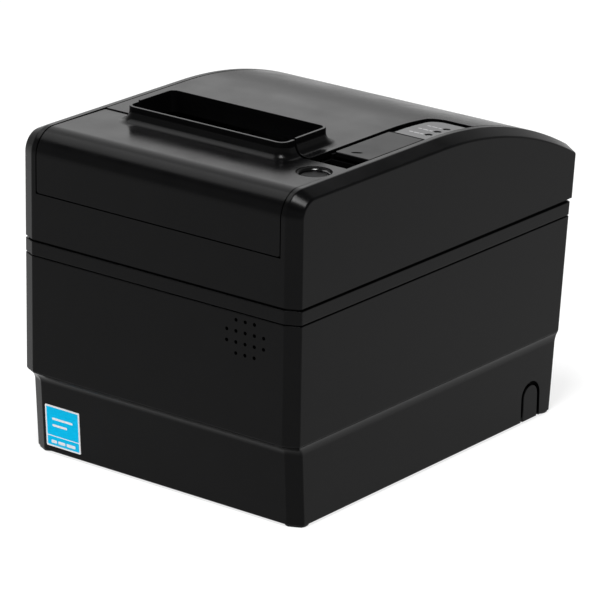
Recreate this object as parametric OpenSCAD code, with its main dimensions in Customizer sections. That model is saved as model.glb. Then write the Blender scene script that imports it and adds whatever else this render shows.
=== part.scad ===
/* [Case] */
// Width of the case, left to right
body_w = 145; // [142:1:156]
// Depth of the case, front to back
body_d = 196; // [192:1:206]
// Height of the base tray
base_h = 35.5; // [33:0.1:42]
// Height of the lower case
lower_h = 51.5; // [49:0.5:58]
// Height of the middle frame's band
band_h = 6.3; // [5.5:0.1:8]
// Height of the upper case
upper_h = 47.1; // [46:0.1:52]
// Thickness of the plastic shells
wall = 2.5; // [2:0.1:3]
// Chamfer of the side edges, measured across the width
edge_x = 6.3; // [4:0.1:7]
// Chamfer of the side edges, measured into the front and top
edge_d = 3; // [2:0.1:3.5]
// Radius of the rounded front top corner
front_r = 11; // [9:0.5:13]
// Radius of the arc that lowers the top towards the rear
top_r = 204; // [195:1:240]
// Length of the flat top, from the front to the start of the arc
flat_l = 97; // [94:1:104]
// Inward lean of the rear wall, in degrees
rear_lean = 5; // [3:0.5:6]
// How far the upper case stands behind the band
rear_step = 1.3; // [0.6:0.1:1.8]
// Width of the groove under the upper case
seam_wide = 1; // [0.6:0.1:1.4]
// Width of the groove under the band
seam_thin = 0.4; // [0.2:0.1:0.6]
// Depth of both grooves
seam_deep = 1.3; // [0.8:0.1:1.6]
// Width of the rails beside the covers
rail_w = 8.5; // [8:0.1:10]

/* [Base] */
// Inset of the base front at its lower edge
base_front_in = 5.5; // [3:0.1:7]
// Inset of the base sides
base_side_in = 1.4; // [0.6:0.1:2]
// Height of the sloping shoulder between base and lower case
shoulder_h = 3.8; // [2.8:0.1:5]
// Inset of the base front below that shoulder
shoulder_in = 3.5; // [2:0.1:4.5]
// Height that the feet hold the base off the table
foot_drop = 0.8; // [0.6:0.1:3]
// Diameter of a rubber foot
foot_d = 10; // [8:1:12]
// Thickness of the base plate
plate_t = 3; // [2.6:0.1:4]
// Width of the cable opening in the right side
plug_w = 12.8; // [10:0.2:16]
// Height of the cable opening
plug_h = 16.4; // [14:0.2:20]
// Visible gap round the cable plug
plug_gap = 1.1; // [0.6:0.1:1.5]
// Side of the square front label
tag_w = 18.8; // [15:0.2:22]

/* [Slot and covers] */
// Width of the paper slot
slot_w = 80.5; // [78:0.5:82]
// Depth of the paper slot, front to back
slot_d = 28; // [26:0.5:30]
// Corner radius of the paper slot
slot_r = 3; // [2:0.5:5]
// Sideways place of the slot's middle
slot_x = -4.5; // [-6:0.1:-3]
// Distance from the front to the slot's middle
slot_back = 50.8; // [49:0.1:53]
// Height of the lip round the slot
lip_h = 6.8; // [5:0.1:9]
// Thickness of the lip's rim
lip_wall = 1.3; // [0.8:0.1:1.5]
// Spread of the lip's foot
lip_flare = 6; // [4:0.1:6.5]
// Distance from the slot's side to the control strip
strip_gap = 8.55; // [8:0.05:10]
// Distance from the front to the joint between the covers
split_back = 43.5; // [42:0.1:45]
// Visible gap between covers and rails
cover_gap = 0.5; // [0.4:0.1:0.7]
// Height of the front cover's front face
front_cover_h = 27; // [22:0.5:30]
// Height of the lowest edge of the paper cover at the rear, above the upper case's foot
skirt_up = 4.2; // [4:0.1:6]
// Diameter of a hinge pin
hinge_d = 5; // [4:0.1:6]
// Distance from the rear to the hinge axis
hinge_in = 10; // [9.5:0.1:11]
// Depth of the hinge axis under the flat top
hinge_down = 32.2; // [31:0.1:33]

/* [Controls] */
// Diameter of the cover-open button
open_d = 12.4; // [11:0.1:12.8]
// Diameter of the dished mouth round the open button
open_mouth = 15; // [14:0.1:15.2]
// Distance from the rail to the middle of the open button
open_in = 8.4; // [8.4:0.1:10]
// Distance from the front to the middle of the open button
open_back = 31.6; // [31:0.1:33]
// Travel of the open button
open_travel = 2.5; // [1.5:0.1:3]
// Length of the finger pocket
pocket_l = 13.5; // [11:0.1:15]
// Depth of the finger pocket
pocket_deep = 14; // [10:0.1:14]
// Length of the feed button
feed_l = 37.6; // [34:0.1:42]
// Travel of the feed button
feed_travel = 0.8; // [0.4:0.1:1]
// Length of the control strip behind the feed button
label_l = 33.6; // [30:0.1:36]
// Ledge beside the status label
label_ledge = 2.2; // [1.2:0.1:3]
// Diameter of a status lamp
lamp_d = 3; // [2:0.1:4]
// Diameter of a sounder hole
grille_d = 1.6; // [1.2:0.1:2]
// Spacing of the sounder holes
grille_step = 4.7; // [4.2:0.1:5]

/* [Mechanism] */
// Diameter of the largest paper roll
roll_d = 83; // [78:0.5:84]
// Diameter of the platen's rubber
platen_d = 13; // [12:0.1:14]
// Diameter of the platen's shaft
shaft_d = 6; // [5:0.1:7]
// Depth of the platen's axis under the flat top
platen_down = 21.2; // [20.5:0.1:22]
// Thickness of the mechanism frame's sheet steel
sheet = 1.5; // [1:0.1:2]
// Gear module
gear_m = 0.8; // [0.7:0.05:0.85]
// Teeth of the platen gear
platen_teeth = 22; // [20:1:24]
// Teeth of the idler gear
idler_teeth = 32; // [30:1:34]
// Teeth of the motor pinion
pinion_teeth = 14; // [12:1:16]
// Width of the gears
gear_w = 4.5; // [3:0.1:5]
// Diameter of the stepper motor
motor_d = 35; // [30:0.5:36]
// Length of the stepper motor
motor_l = 22; // [18:0.5:30]
// Travel of the cutter blade
cut_travel = 9; // [6:0.1:9.5]

/* [Hidden] */
$fn = 48;

// Colours
case_black = [0.11, 0.11, 0.12];
deep_black = [0.05, 0.05, 0.055];
grey_label = [0.42, 0.43, 0.45];
steel = [0.7, 0.71, 0.72];
board_green = [0.08, 0.3, 0.16];
rubber_black = [0.07, 0.07, 0.07];
part_white = [0.86, 0.86, 0.82];

// Clearances
slip = 0.3;
run_fit = 0.05;
nest = 0.2;
eps = 0.01;

// Levels, from the table up
z_base = foot_drop;
z_low = z_base + base_h;
z_band = z_low + lower_h;
z_seam = z_band + band_h;
z_up = z_seam + seam_wide;
z_top = z_up + upper_h;
z_lip = z_top + lip_h;

// Front and rear limits and the rear wall's plane
fy = -body_d / 2;
ry = body_d / 2;
half_w = body_w / 2;
open_half = half_w - rail_w;
cover_half = open_half - cover_gap;
arc_y = fy + flat_l;
arc_z = z_top - top_r;
rear_z = arc_z + sqrt(pow(top_r, 2) - pow(ry - arc_y, 2));
rear_off = ry * cos(rear_lean) - rear_z * sin(rear_lean);

// Places that several pieces share
slot_y = fy + slot_back;
split_y = fy + split_back;
cover_z = z_top - front_cover_h;
skirt_z = z_up + skirt_up;
hinge_y = ry - hinge_in;
hinge_z = z_top - hinge_down;
hinge_clear = norm([wall_rear(skirt_z, 0) - hinge_y, skirt_z - hinge_z]) + 2 * cover_gap;
lug_t = 3;
boss_r = hinge_d / 2 + 3;
strip_x = slot_x + slot_w / 2 + strip_gap;
deck_t = 2;

// Platen, frame and drive
platen_y = split_y + platen_d / 2 + 1.5;
platen_z = z_top - platen_down;
platen_half = slot_w / 2 - 0.25;
arm_in = platen_half + 1;
arm_t = 2.5;
arm_r = shaft_d / 2 + 3.5;
frame_gap = 0.7;
frame_l = slot_x - arm_in - arm_t - frame_gap;
frame_r = slot_x + arm_in + arm_t + frame_gap;
frame_top = platen_z + 4;
cutter_z = platen_z + platen_d / 2 + 1.5;
frame_y0 = fy + wall + 13;
frame_y1 = platen_y + 9;
tab = 7;
gear_x1 = frame_l - sheet - 1.5;
gear_x0 = gear_x1 - gear_w;
lift = [platen_y - hinge_y, platen_z - hinge_z] / norm([platen_y - hinge_y, platen_z - hinge_z]);
idler_far = gear_m * (platen_teeth + idler_teeth) / 2;
idler_y = platen_y - idler_far * lift[1];
idler_z = platen_z + idler_far * lift[0];
pinion_far = gear_m * (pinion_teeth + idler_teeth) / 2;
pinion_angle = 225;
pinion_y = idler_y + pinion_far * cos(pinion_angle);
pinion_z = idler_z + pinion_far * sin(pinion_angle);
stud_d = 4;
head_y = platen_y - platen_d / 2 - slip;
head_t = 1;
sink_t = 5;
spring_room = 5.2;
cross_y = head_y - head_t - sink_t - spring_room;
head_z0 = platen_z - 12;
head_z1 = platen_z + 4;
fixed_in = 5;

// Controls
open_x = open_half - open_in;
open_y = fy + open_back;
open_sunk = 2;
open_dish = 0.3;
sleeve_t = 0.8;
pivot_far = 9.5;
pivot_y = platen_y - pivot_far;
pivot_z = platen_z - 7;
pad_z = pivot_z + 12;
pad_gap = 0.8;
pad_t = 2.5;
tray_x0 = strip_x + cover_gap / 2;
lever_x = frame_r + sheet + 0.5;
shaft_end = tray_x0 - slip;
lever_t = shaft_end - lever_x;
tray_x1 = open_half - slip;
tray_wall = 1.2;
tray_z = z_top - 6.7;
tray_t = 2;
sleeve_r = open_d / 2 + slip + sleeve_t;
tray_y0 = max(split_y, open_y + sleeve_r) + slip;
pocket_y = split_y + pocket_l;
feed_y = pocket_y + feed_l;
label_y = feed_y + label_l;
feed_t = 2;
feed_x = (tray_x0 + tray_wall + tray_x1) / 2;
label_sunk = 0.2;
label_t = 0.8;
label_gap = 0.6;
label_x0 = tray_x0 + tray_wall + label_ledge;
label_end = label_y - 2 * label_ledge;
rail_ledge = 1.5;
lamp_x = open_half - rail_ledge - slip - lamp_d / 2;
lamp_step = 6.3;
lamp_sunk = 0.5;
panel_gap = 3.5;
board_t = 1.6;
switch_h = panel_gap - feed_travel - 0.1;

// Paper bucket
bucket_r = roll_d / 2 + 1.5;
bucket_half = slot_w / 2 + 0.75;
bucket_t = 2;
flange_w = 4;
bucket_out = bucket_half + bucket_t;
bucket_z = z_top - wall - 1.2 - roll_d / 2 - 1;
bucket_y = frame_y1 + tab + 1.5 + flange_w + bucket_t + bucket_r;

// Base and boards
cavity_side = half_w - base_side_in - wall;
cavity_front = fy + base_front_in + wall;
base_roof = 2;
post_r = 3.5;
post_x = cavity_side - 8;
post_y0 = cavity_front + 8;
post_y1 = wall_low(z_base, 0) - wall - 12;
screw_r = 1.5;
head_r = 2.75;
head_h = 1.7;
foot_edge = 0.4;
board_lift = 4;
stand_r = 3;
case_post_x = half_w - wall - 7;
case_post_y0 = fy + wall + 11;
case_post_y1 = wall_low(z_low, 0) - wall - 9;
front_slope = atan((base_front_in - shoulder_in) / (base_h - shoulder_h));
tag_t = 0.25;
tag_x = 18.8 - half_w;
tag_z = z_base + 12.1;
plug_y = wall_low(z_base, 0) - 17.3;
port_z = z_low + 24;
port_w = 96;
port_h = 24;
port_t = 1.2;
port_floor = -7.6;
port_rest = 11;
inlet_z = z_base + 17.5;
inlet_w = 27;
inlet_h = 19;
inlet_x = inlet_w / 2 + 1.6 + post_r - post_x;
rocker_x = inlet_x + 32;
rocker_w = 22;
rocker_h = 15;
rocker_tilt = 8;
grille_x = half_w - 25.8;
grille_z = z_band - 10.1;
grille_rows = [3, 5, 5, 3];
main_z = z_low + wall + board_lift;
main_w = 112;
main_l = 118;
main_y0 = fy + wall + 15.5;
chip_w = 24;
sounder_r = 12;
sounder_h = 8;

// Rear wall of the upper case and of everything below it, at height z and depth d inside the wall
function wall_rear(z, d) = (rear_off - d + z * sin(rear_lean)) / cos(rear_lean);
function wall_low(z, d) = wall_rear(z, d + rear_step);

// Height of the top surface at y, d below the outside
function top_at(y, d) = y < arc_y ? z_top - d : arc_z + sqrt(pow(top_r - d, 2) - pow(y - arc_y, 2));

// Side view of the upper body, d inside its outer faces, down to the level zb
function up_profile(d, zb) =
    let (reach = (rear_off - d - arc_y * cos(rear_lean) + arc_z * sin(rear_lean)) / (top_r - d))
    let (last = rear_lean + asin(reach))
    concat(
        [[fy + d, zb]],
        [for (i = [0 : 8]) let (a = i * 90 / 8)
            [fy + front_r - (front_r - d) * cos(a), z_top - front_r + (front_r - d) * sin(a)]],
        [for (i = [0 : 14]) let (a = last * i / 14)
            [arc_y + (top_r - d) * sin(a), arc_z + (top_r - d) * cos(a)]],
        [[wall_rear(zb, d), zb]]
    );

// Side view of the bodies below, between two levels
function low_profile(za, zb, d) =
    [[fy + d, za], [fy + d, zb], [wall_low(zb, d), zb], [wall_low(za, d), za]];

// A side view drawn out along X, either centred or between two places
module across(half) {
    rotate([90, 0, 90]) linear_extrude(2 * half, center = true) children();
}
module span_x(x0, x1) {
    translate([x0, 0, 0]) rotate([90, 0, 90]) linear_extrude(x1 - x0) children();
}
module box(lo, hi) {
    translate(lo) cube(hi - lo);
}
module rod_x(x0, x1, y, z, r) {
    translate([x0, y, z]) rotate([0, 90, 0]) cylinder(h = x1 - x0, r = r);
}
module rod_z(x, y, z0, z1, r) {
    translate([x, y, z0]) cylinder(h = z1 - z0, r = r);
}

// Bodies with chamfered side edges
module up_solid(d, zb) {
    hull() {
        across(half_w - edge_x - d / 2) polygon(up_profile(d, zb));
        across(half_w - d) polygon(up_profile(d + edge_d, zb));
    }
}
module low_solid(za, zb, d) {
    hull() {
        across(half_w - edge_x - d / 2) polygon(low_profile(za, zb, d));
        across(half_w - d) polygon(low_profile(za, zb, d + edge_d));
    }
}

// Skin of the covers: the outer wall of the upper body over a stretch of its width
module cover_skin(half) {
    difference() {
        across(half) polygon(up_profile(0, z_up));
        across(half + 1) polygon(up_profile(wall, z_up - 1));
    }
}

// Rectangle with round corners, centred
module round_rect(w, d, r) {
    square([w - 2 * r, d], center = true);
    square([w, d - 2 * r], center = true);
    for (sx = [-1, 1], sy = [-1, 1])
        translate([sx * (w / 2 - r), sy * (d / 2 - r)]) circle(r);
}

// Rectangle whose far left corner is round: the control strip seen from above
module strip_plan(x0, x1, y0, y1, corner_r) {
    r = min(corner_r, (x1 - x0) / 2);
    translate([x0 + r, y0]) square([x1 - x0 - r, y1 - y0]);
    translate([x0, y0]) square([x1 - x0, y1 - y0 - r]);
    translate([x0 + r, y1 - r]) circle(r);
}

// Raised lip round the slot: a thin rim on a concave skirt
module lip() {
    round_r = min(lip_flare - lip_wall, lip_h - 1);
    section = concat(
        [[0, z_top - wall], [0, z_lip], [lip_wall, z_lip]],
        [for (i = [0 : 6]) let (a = 180 + i * 15)
            [lip_wall + round_r + round_r * cos(a), z_top + round_r + round_r * sin(a)]],
        [[lip_wall + round_r, z_top - wall]]
    );
    translate([slot_x, slot_y, 0])
        for (i = [0 : 3]) {
            long = i % 2 == 0 ? slot_w : slot_d;
            wide = i % 2 == 0 ? slot_d : slot_w;
            rotate([0, 0, 90 * i]) {
                translate([long / 2, 0, 0])
                    rotate([90, 0, 0])
                        linear_extrude(wide - 2 * slot_r, center = true) polygon(section);
                translate([long / 2 - slot_r, wide / 2 - slot_r, 0])
                    rotate_extrude(angle = 90) translate([slot_r, 0]) polygon(section);
            }
        }
}
// The covers' skin with the slot cut out and the lip set round it
module slotted_skin() {
    difference() {
        cover_skin(cover_half);
        translate([slot_x, slot_y, platen_z])
            linear_extrude(z_lip - platen_z)
                round_rect(slot_w + lip_wall, slot_d + lip_wall, slot_r);
    }
    lip();
}

// Local frame on the leaning rear wall at height z: X to the right, Y outward, Z up the wall
module on_rear(z) {
    translate([0, wall_low(z, 0), z]) rotate([-rear_lean, 0, 0]) children();
}

// Pan head screw with its head's underside at z = 0, pointing down
module screw(l) {
    cylinder(h = head_h, r = head_r);
    translate([0, 0, -l]) cylinder(h = l + eps, r = screw_r);
}

// Spur gear with straight sided teeth, a tooth pointing along its own X axis
module gear_plan(teeth) {
    pitch_r = gear_m * teeth / 2;
    tip = pitch_r + 0.75 * gear_m;
    root = pitch_r - 1.1 * gear_m;
    half_pitch = 0.2 * PI * gear_m;
    tooth_root = half_pitch + 1.1 * gear_m * tan(20);
    tooth_tip = half_pitch - 0.75 * gear_m * tan(20);
    polygon([for (i = [0 : teeth - 1], c = [0 : 3])
        let (r = c == 0 || c == 3 ? root : tip)
        let (t = [-tooth_root, -tooth_tip, tooth_tip, tooth_root][c])
        let (a = 360 * i / teeth + atan(t / r))
        [r * cos(a), r * sin(a)]]);
}
module gear(teeth, y, z, turn, bore_r) {
    translate([gear_x0, y, z])
        rotate([90, 0, 90])
            difference() {
                rotate([0, 0, turn]) linear_extrude(gear_w) gear_plan(teeth);
                translate([0, 0, -1]) cylinder(h = gear_w + 2, r = bore_r);
            }
}

// Base

// Outline of the base at its foot, below its shoulder or under the lower case
module base_plan(z, front, side) {
    polygon([for (s = [[-1, 0], [-1, 1], [1, 1], [1, 0]], c = [0, 1])
        let (corner = (c + (s[0] * (s[1] - 0.5) > 0 ? 1 : 0)) % 2)
        let (y_edge = s[1] == 0 ? fy + front : wall_low(z, 0))
        let (in_y = s[1] == 0 ? edge_d : -edge_d)
        [s[0] * (half_w - side - (corner == 0 ? 0 : edge_x)), y_edge + (corner == 0 ? in_y : 0)]]);
}
module base_slab(z, front, side) {
    translate([0, 0, z]) linear_extrude(eps) base_plan(z, front, side);
}
module base_outer() {
    hull() {
        base_slab(z_base, base_front_in, base_side_in);
        base_slab(z_low - shoulder_h, shoulder_in, base_side_in);
    }
    hull() {
        base_slab(z_low - shoulder_h, shoulder_in, base_side_in);
        base_slab(z_low - eps, nest, nest);
    }
}
module plug_plan(w, h) {
    translate([-w / 2, 0]) square([w, h - w / 2]);
    translate([0, h - w / 2]) circle(w / 2);
}
module base_tray() {
    color(case_black) difference() {
        union() {
            difference() {
                base_outer();
                box([-cavity_side, cavity_front, z_base - 1],
                    [cavity_side, wall_low(z_base, wall), z_low - base_roof]);
            }
            for (x = [-post_x, post_x], y = [post_y0, post_y1])
                rod_z(x, y, z_base + plate_t, z_low - base_roof + eps, post_r);
        }
        for (x = [-post_x, post_x], y = [post_y0, post_y1])
            rod_z(x, y, z_base, z_base + plate_t + 9, screw_r + run_fit);
        span_x(cavity_side - 1, half_w + 1)
            translate([plug_y, z_base - 1]) plug_plan(plug_w, plug_h + 1);
        on_rear(inlet_z) {
            box([inlet_x - inlet_w / 2 - nest, -3 * wall, -inlet_h / 2 - nest],
                [inlet_x + inlet_w / 2 + nest, 1, inlet_h / 2 + nest]);
            box([rocker_x - rocker_w / 2 - nest, -3 * wall, -rocker_h / 2 - nest],
                [rocker_x + rocker_w / 2 + nest, 1, rocker_h / 2 + nest]);
        }
    }
}
module base_plate() {
    color(steel) difference() {
        union() {
            box([-cavity_side + nest, cavity_front + nest, z_base],
                [cavity_side - nest, wall_low(z_base, wall) - nest, z_base + plate_t]);
            for (x = [psu_x0 + 6, psu_x0 + psu_w - 6], y = [psu_y0 + 6, psu_y0 + psu_l - 7])
                rod_z(x, y, z_base + plate_t - eps, z_base + plate_t + board_lift, stand_r);
        }
        for (x = [-post_x, post_x], y = [post_y0, post_y1]) {
            rod_z(x, y, z_base - 1, z_base + head_h + run_fit, head_r + run_fit);
            rod_z(x, y, z_base, z_base + plate_t + 1, screw_r + run_fit);
        }
    }
}
module rubber_feet() {
    side = base_side_in + foot_edge;
    front = base_front_in + foot_edge;
    foot_x = half_w - side - foot_d / 2;
    color(rubber_black) intersection() {
        for (x = [-foot_x, foot_x], y = [fy + front + foot_d / 2, wall_low(z_base, 0) - foot_edge - foot_d / 2])
            rod_z(x, y, 0, foot_drop, foot_d / 2);
        linear_extrude(foot_drop) base_plan(z_base, front, side);
    }
}
module base_screws() {
    color(steel)
        for (x = [-post_x, post_x], y = [post_y0, post_y1])
            translate([x, y, z_base + head_h]) mirror([0, 0, 1]) screw(9);
}
module cable_plug() {
    color(case_black) {
        intersection() {
            base_outer();
            span_x(cavity_side - eps, half_w)
                translate([plug_y, z_base + eps]) plug_plan(plug_w - 2 * plug_gap, plug_h - plug_gap);
        }
        difference() {
            span_x(cavity_side - 2, cavity_side)
                translate([plug_y, z_base]) plug_plan(plug_w + 4, plug_h + 2);
            box([0, plug_y - plug_w, z_base - 1], [half_w, plug_y + plug_w, z_base + plate_t + nest]);
        }
    }
}
module front_tag() {
    foot_y = fy + base_front_in;
    color([0.1, 0.62, 0.8])
        translate([tag_x, foot_y - (tag_z - z_base) * tan(front_slope), tag_z])
            rotate([front_slope, 0, 0])
                box([-tag_w / 2, -tag_t, -tag_w / 2], [tag_w / 2, 0, tag_w / 2]);
}

// Power supply
psu_z = z_base + plate_t + board_lift;
psu_top = psu_z + board_t;
psu_w = 92;
psu_l = 118;
psu_x0 = -psu_w + 36;
psu_y0 = cavity_front + 24;
psu_tall = base_h - plate_t - board_lift - board_t - base_roof - 4.5;
coil_w = 32;
coil_l = 30;
core_w = 24;
core_l = 5;
can_r = 9;
small_can_r = 5;
module power_board() {
    color(board_green) box([psu_x0, psu_y0, psu_z], [psu_x0 + psu_w, psu_y0 + psu_l, psu_top]);
}
module transformer() {
    coil_x = psu_x0 + psu_w / 2 + 12;
    coil_y = psu_y0 + 36;
    color([0.75, 0.65, 0.2])
        box([coil_x - coil_w / 2, coil_y, psu_top], [coil_x + coil_w / 2, coil_y + coil_l, psu_top + psu_tall]);
    color(deep_black)
        for (y = [coil_y - core_l, coil_y + coil_l])
            box([coil_x - core_w / 2, y, psu_top], [coil_x + core_w / 2, y + core_l, psu_top + 0.8 * psu_tall]);
}
module capacitors() {
    color(deep_black) {
        rod_z(psu_x0 + 2.2 * can_r, psu_y0 + psu_l - 2.4 * can_r, psu_top, psu_top + psu_tall, can_r);
        for (i = [0, 1])
            rod_z(psu_x0 + psu_w - 2.4 * small_can_r, psu_y0 + (2.8 + 2.8 * i) * small_can_r,
                  psu_top, psu_top + 0.8 * psu_tall, small_can_r);
    }
}
module power_inlet() {
    color(deep_black)
        on_rear(inlet_z)
            difference() {
                box([inlet_x - inlet_w / 2, -22, -inlet_h / 2], [inlet_x + inlet_w / 2, -0.6, inlet_h / 2]);
                box([inlet_x - inlet_w / 2 + 2.5, -16, -inlet_h / 2 + 2.5],
                    [inlet_x + inlet_w / 2 - 2.5, 0, inlet_h / 2 - 2.5]);
            }
}
rocker_pivot = -5;
module switch_housing() {
    color(deep_black)
        on_rear(inlet_z)
            difference() {
                box([rocker_x - rocker_w / 2, -20, -rocker_h / 2],
                    [rocker_x + rocker_w / 2, -0.4, rocker_h / 2]);
                box([rocker_x - rocker_w / 2 + 1, -13, -rocker_h / 2 + 0.8],
                    [rocker_x + rocker_w / 2 - 1, 0, rocker_h / 2 - 0.8]);
                rod_x(rocker_x - rocker_w / 2 - 1, rocker_x + rocker_w / 2 + 1, rocker_pivot, 0, 1.25 + run_fit);
            }
}
module power_rocker() {
    reach = rocker_h / 2 - 1.9;
    color(rubber_black)
        on_rear(inlet_z)
            translate([0, rocker_pivot, 0]) rotate([rocker_tilt, 0, 0]) {
                span_x(rocker_x - rocker_w / 2 + 1.4, rocker_x + rocker_w / 2 - 1.4)
                    polygon([[-3.5, -2], [-3.5, 2], [0, reach - 0.6], [5.8, reach], [4.8, 0],
                             [5.8, -reach], [0, 0.6 - reach]]);
                rod_x(rocker_x - rocker_w / 2, rocker_x + rocker_w / 2, 0, 0, 1.25);
            }
}

// Lower case and its boards
module grille_holes() {
    for (row = [0 : len(grille_rows) - 1], k = [0 : grille_rows[row] - 1])
        translate([grille_x + (k - (grille_rows[row] - 1) / 2) * grille_step, fy - 1,
                   grille_z + ((len(grille_rows) - 1) / 2 - row) * grille_step])
            rotate([-90, 0, 0]) cylinder(h = wall + 2, r = grille_d / 2);
}
module lower_case() {
    color(case_black) difference() {
        union() {
            difference() {
                low_solid(z_low, z_band, 0);
                low_solid(z_low + wall, z_band + 1, wall);
            }
            for (x = [6 - main_w / 2, main_w / 2 - 6], y = [main_y0 + 10, main_y0 + main_l - 8])
                rod_z(x, y, z_low + wall - eps, main_z, stand_r);
            for (x = [-case_post_x, case_post_x], y = [case_post_y0, case_post_y1])
                rod_z(x, y, z_low + wall - eps, z_seam - deck_t, post_r);
        }
        for (x = [-case_post_x, case_post_x], y = [case_post_y0, case_post_y1])
            rod_z(x, y, z_seam - deck_t - 12, z_seam, screw_r + run_fit);
        grille_holes();
        on_rear(port_z)
            box([-port_w / 2, -2 * wall, -port_h / 2], [port_w / 2, 1, port_h / 2]);
    }
}
module sounder() {
    color(deep_black) difference() {
        translate([grille_x, fy + wall, grille_z - 1]) rotate([-90, 0, 0]) cylinder(h = sounder_h, r = sounder_r);
        translate([grille_x, fy + wall - 1, grille_z])
            rotate([-90, 0, 0]) cylinder(h = sounder_h / 2, r = sounder_r - 3.5);
    }
}
module main_board() {
    color(board_green) difference() {
        box([-main_w / 2, main_y0, main_z], [main_w / 2, main_y0 + main_l, main_z + board_t]);
        rod_x(slot_x - bucket_out - 1, slot_x + bucket_out + 1, bucket_y, bucket_z, bucket_r + bucket_t + 1);
    }
}
module main_chips() {
    top = main_z + board_t;
    mid_y = main_y0 + main_l / 2;
    color(deep_black) {
        box([-chip_w / 2, mid_y - chip_w, top], [chip_w / 2, mid_y, top + 2]);
        box([chip_w, mid_y - chip_w / 2, top], [1.6 * chip_w, mid_y, top + 1.6]);
        box([-1.6 * chip_w, mid_y - 1.6 * chip_w, top], [-1.2 * chip_w, mid_y - 0.8 * chip_w, top + 1.6]);
    }
    color(part_white) box([0.6 * chip_w, mid_y - 1.9 * chip_w, top], [1.4 * chip_w, mid_y - 1.65 * chip_w, top + 5]);
}
// Widths and heights of the sockets, and the equal gaps between them along the plate
socket_w = [30, 16.4, 12.2, 13];
socket_h = [12.4, 13.4, 11, 11.6];
socket_deep = 17;
mouth_deep = 11;
socket_gap = (port_w - socket_w * [1, 1, 1, 1]) / 5;
function socket_x(i) = i == 0 ? -port_w / 2 + socket_gap + socket_w[0] / 2 :
    socket_x(i - 1) + (socket_w[i - 1] + socket_w[i]) / 2 + socket_gap;
sockets = [for (i = [0 : 3]) [socket_x(i), socket_w[i], socket_h[i]]];
module socket_hole(s, grow) {
    box([s[0] - s[1] / 2 - grow, -port_t - 2 * wall, port_floor],
        [s[0] + s[1] / 2 + grow, 1, port_floor + s[2] + grow]);
}
module socket_shell(s, rim) {
    on_rear(port_z)
        difference() {
            box([s[0] - s[1] / 2, -socket_deep, port_floor], [s[0] + s[1] / 2, -0.6, port_floor + s[2]]);
            box([s[0] - s[1] / 2 + rim, -mouth_deep, port_floor + rim],
                [s[0] + s[1] / 2 - rim, 0, port_floor + s[2] - rim]);
        }
}
module interface_plate() {
    color(steel)
        on_rear(port_z)
            difference() {
                box([nest - port_w / 2, -wall, nest - port_h / 2],
                    [port_w / 2 - nest, port_t - wall, port_h / 2 - nest]);
                for (s = sockets)
                    socket_hole(s, nest);
            }
}
module interface_board() {
    color(board_green)
        on_rear(port_z)
            box([2 - port_w / 2, -socket_deep - port_rest, port_floor - board_t], [port_w / 2 - 2, -wall, port_floor]);
}
module serial_socket() {
    color(steel) socket_shell(sockets[0], 2);
}
module network_socket() {
    color(steel) socket_shell(sockets[1], 1.5);
}
module usb_socket() {
    color(steel) socket_shell(sockets[2], 1.4);
}
module drawer_socket() {
    color(deep_black) socket_shell(sockets[3], 1.5);
}

// Middle frame and paper bucket
module middle_frame() {
    color(case_black) difference() {
        union() {
            low_solid(z_band, z_band + seam_thin + eps, seam_deep);
            low_solid(z_band + seam_thin, z_seam, 0);
            low_solid(z_seam - eps, z_up, seam_deep);
        }
        low_solid(z_band - 1, z_seam - deck_t, wall);
        low_solid(z_seam, z_up + 1, wall);
        box([slot_x - bucket_out - slip, bucket_y - bucket_r - bucket_t - slip, z_band],
            [slot_x + bucket_out + slip, bucket_y + bucket_r + bucket_t + slip, z_up]);
        box([gear_x0 - 2, frame_y0 + 1, z_band], [frame_r + sheet + 2, frame_y1 - 1, z_up]);
        box([gear_x0 - 2, frame_y1 - 2, z_band], [frame_l - sheet - 1, frame_y1 + 6, z_up]);
        for (x = [-case_post_x, case_post_x], y = [case_post_y0, case_post_y1])
            rod_z(x, y, z_band, z_up, screw_r + run_fit);
        for (p = frame_holes())
            rod_z(p[0], p[1], z_band, z_up, screw_r + run_fit);
    }
}
module case_screws() {
    color(steel)
        for (x = [-case_post_x, case_post_x], y = [case_post_y0, case_post_y1])
            translate([x, y, z_seam]) screw(12);
}
module paper_bucket() {
    top = bucket_z + 24;
    flange_out = bucket_r + bucket_t + flange_w;
    color(deep_black)
        translate([slot_x, bucket_y, 0])
            difference() {
                union() {
                    rod_x(-bucket_out, bucket_out, 0, bucket_z, bucket_r + bucket_t);
                    box([-bucket_out, -bucket_r - bucket_t, bucket_z], [bucket_out, bucket_r + bucket_t, top]);
                    box([-bucket_out - flange_w, -flange_out, z_seam],
                        [bucket_out + flange_w, flange_out, z_seam + bucket_t]);
                }
                rod_x(-bucket_half, bucket_half, 0, bucket_z, bucket_r);
                box([-bucket_half, -bucket_r, bucket_z], [bucket_half, bucket_r, top + 1]);
                box([-bucket_out - 1, -bucket_r - bucket_t - 1, z_seam + bucket_t + 6],
                    [bucket_out + 1, -bucket_r + 26, top + 1]);
                box([-bucket_half, bucket_r - 1, z_seam + bucket_t + 6],
                    [bucket_half, bucket_r + bucket_t + 1, top + 1]);
                box([-bucket_out - 1, -flange_out, top], [bucket_out + 1, flange_out, z_lip]);
            }
}
module paper_end_sensor() {
    side = slot_x - bucket_out;
    color(deep_black) box([side - 8, bucket_y - 6, z_seam - 20], [side, bucket_y + 6, z_seam - 6]);
}

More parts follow.
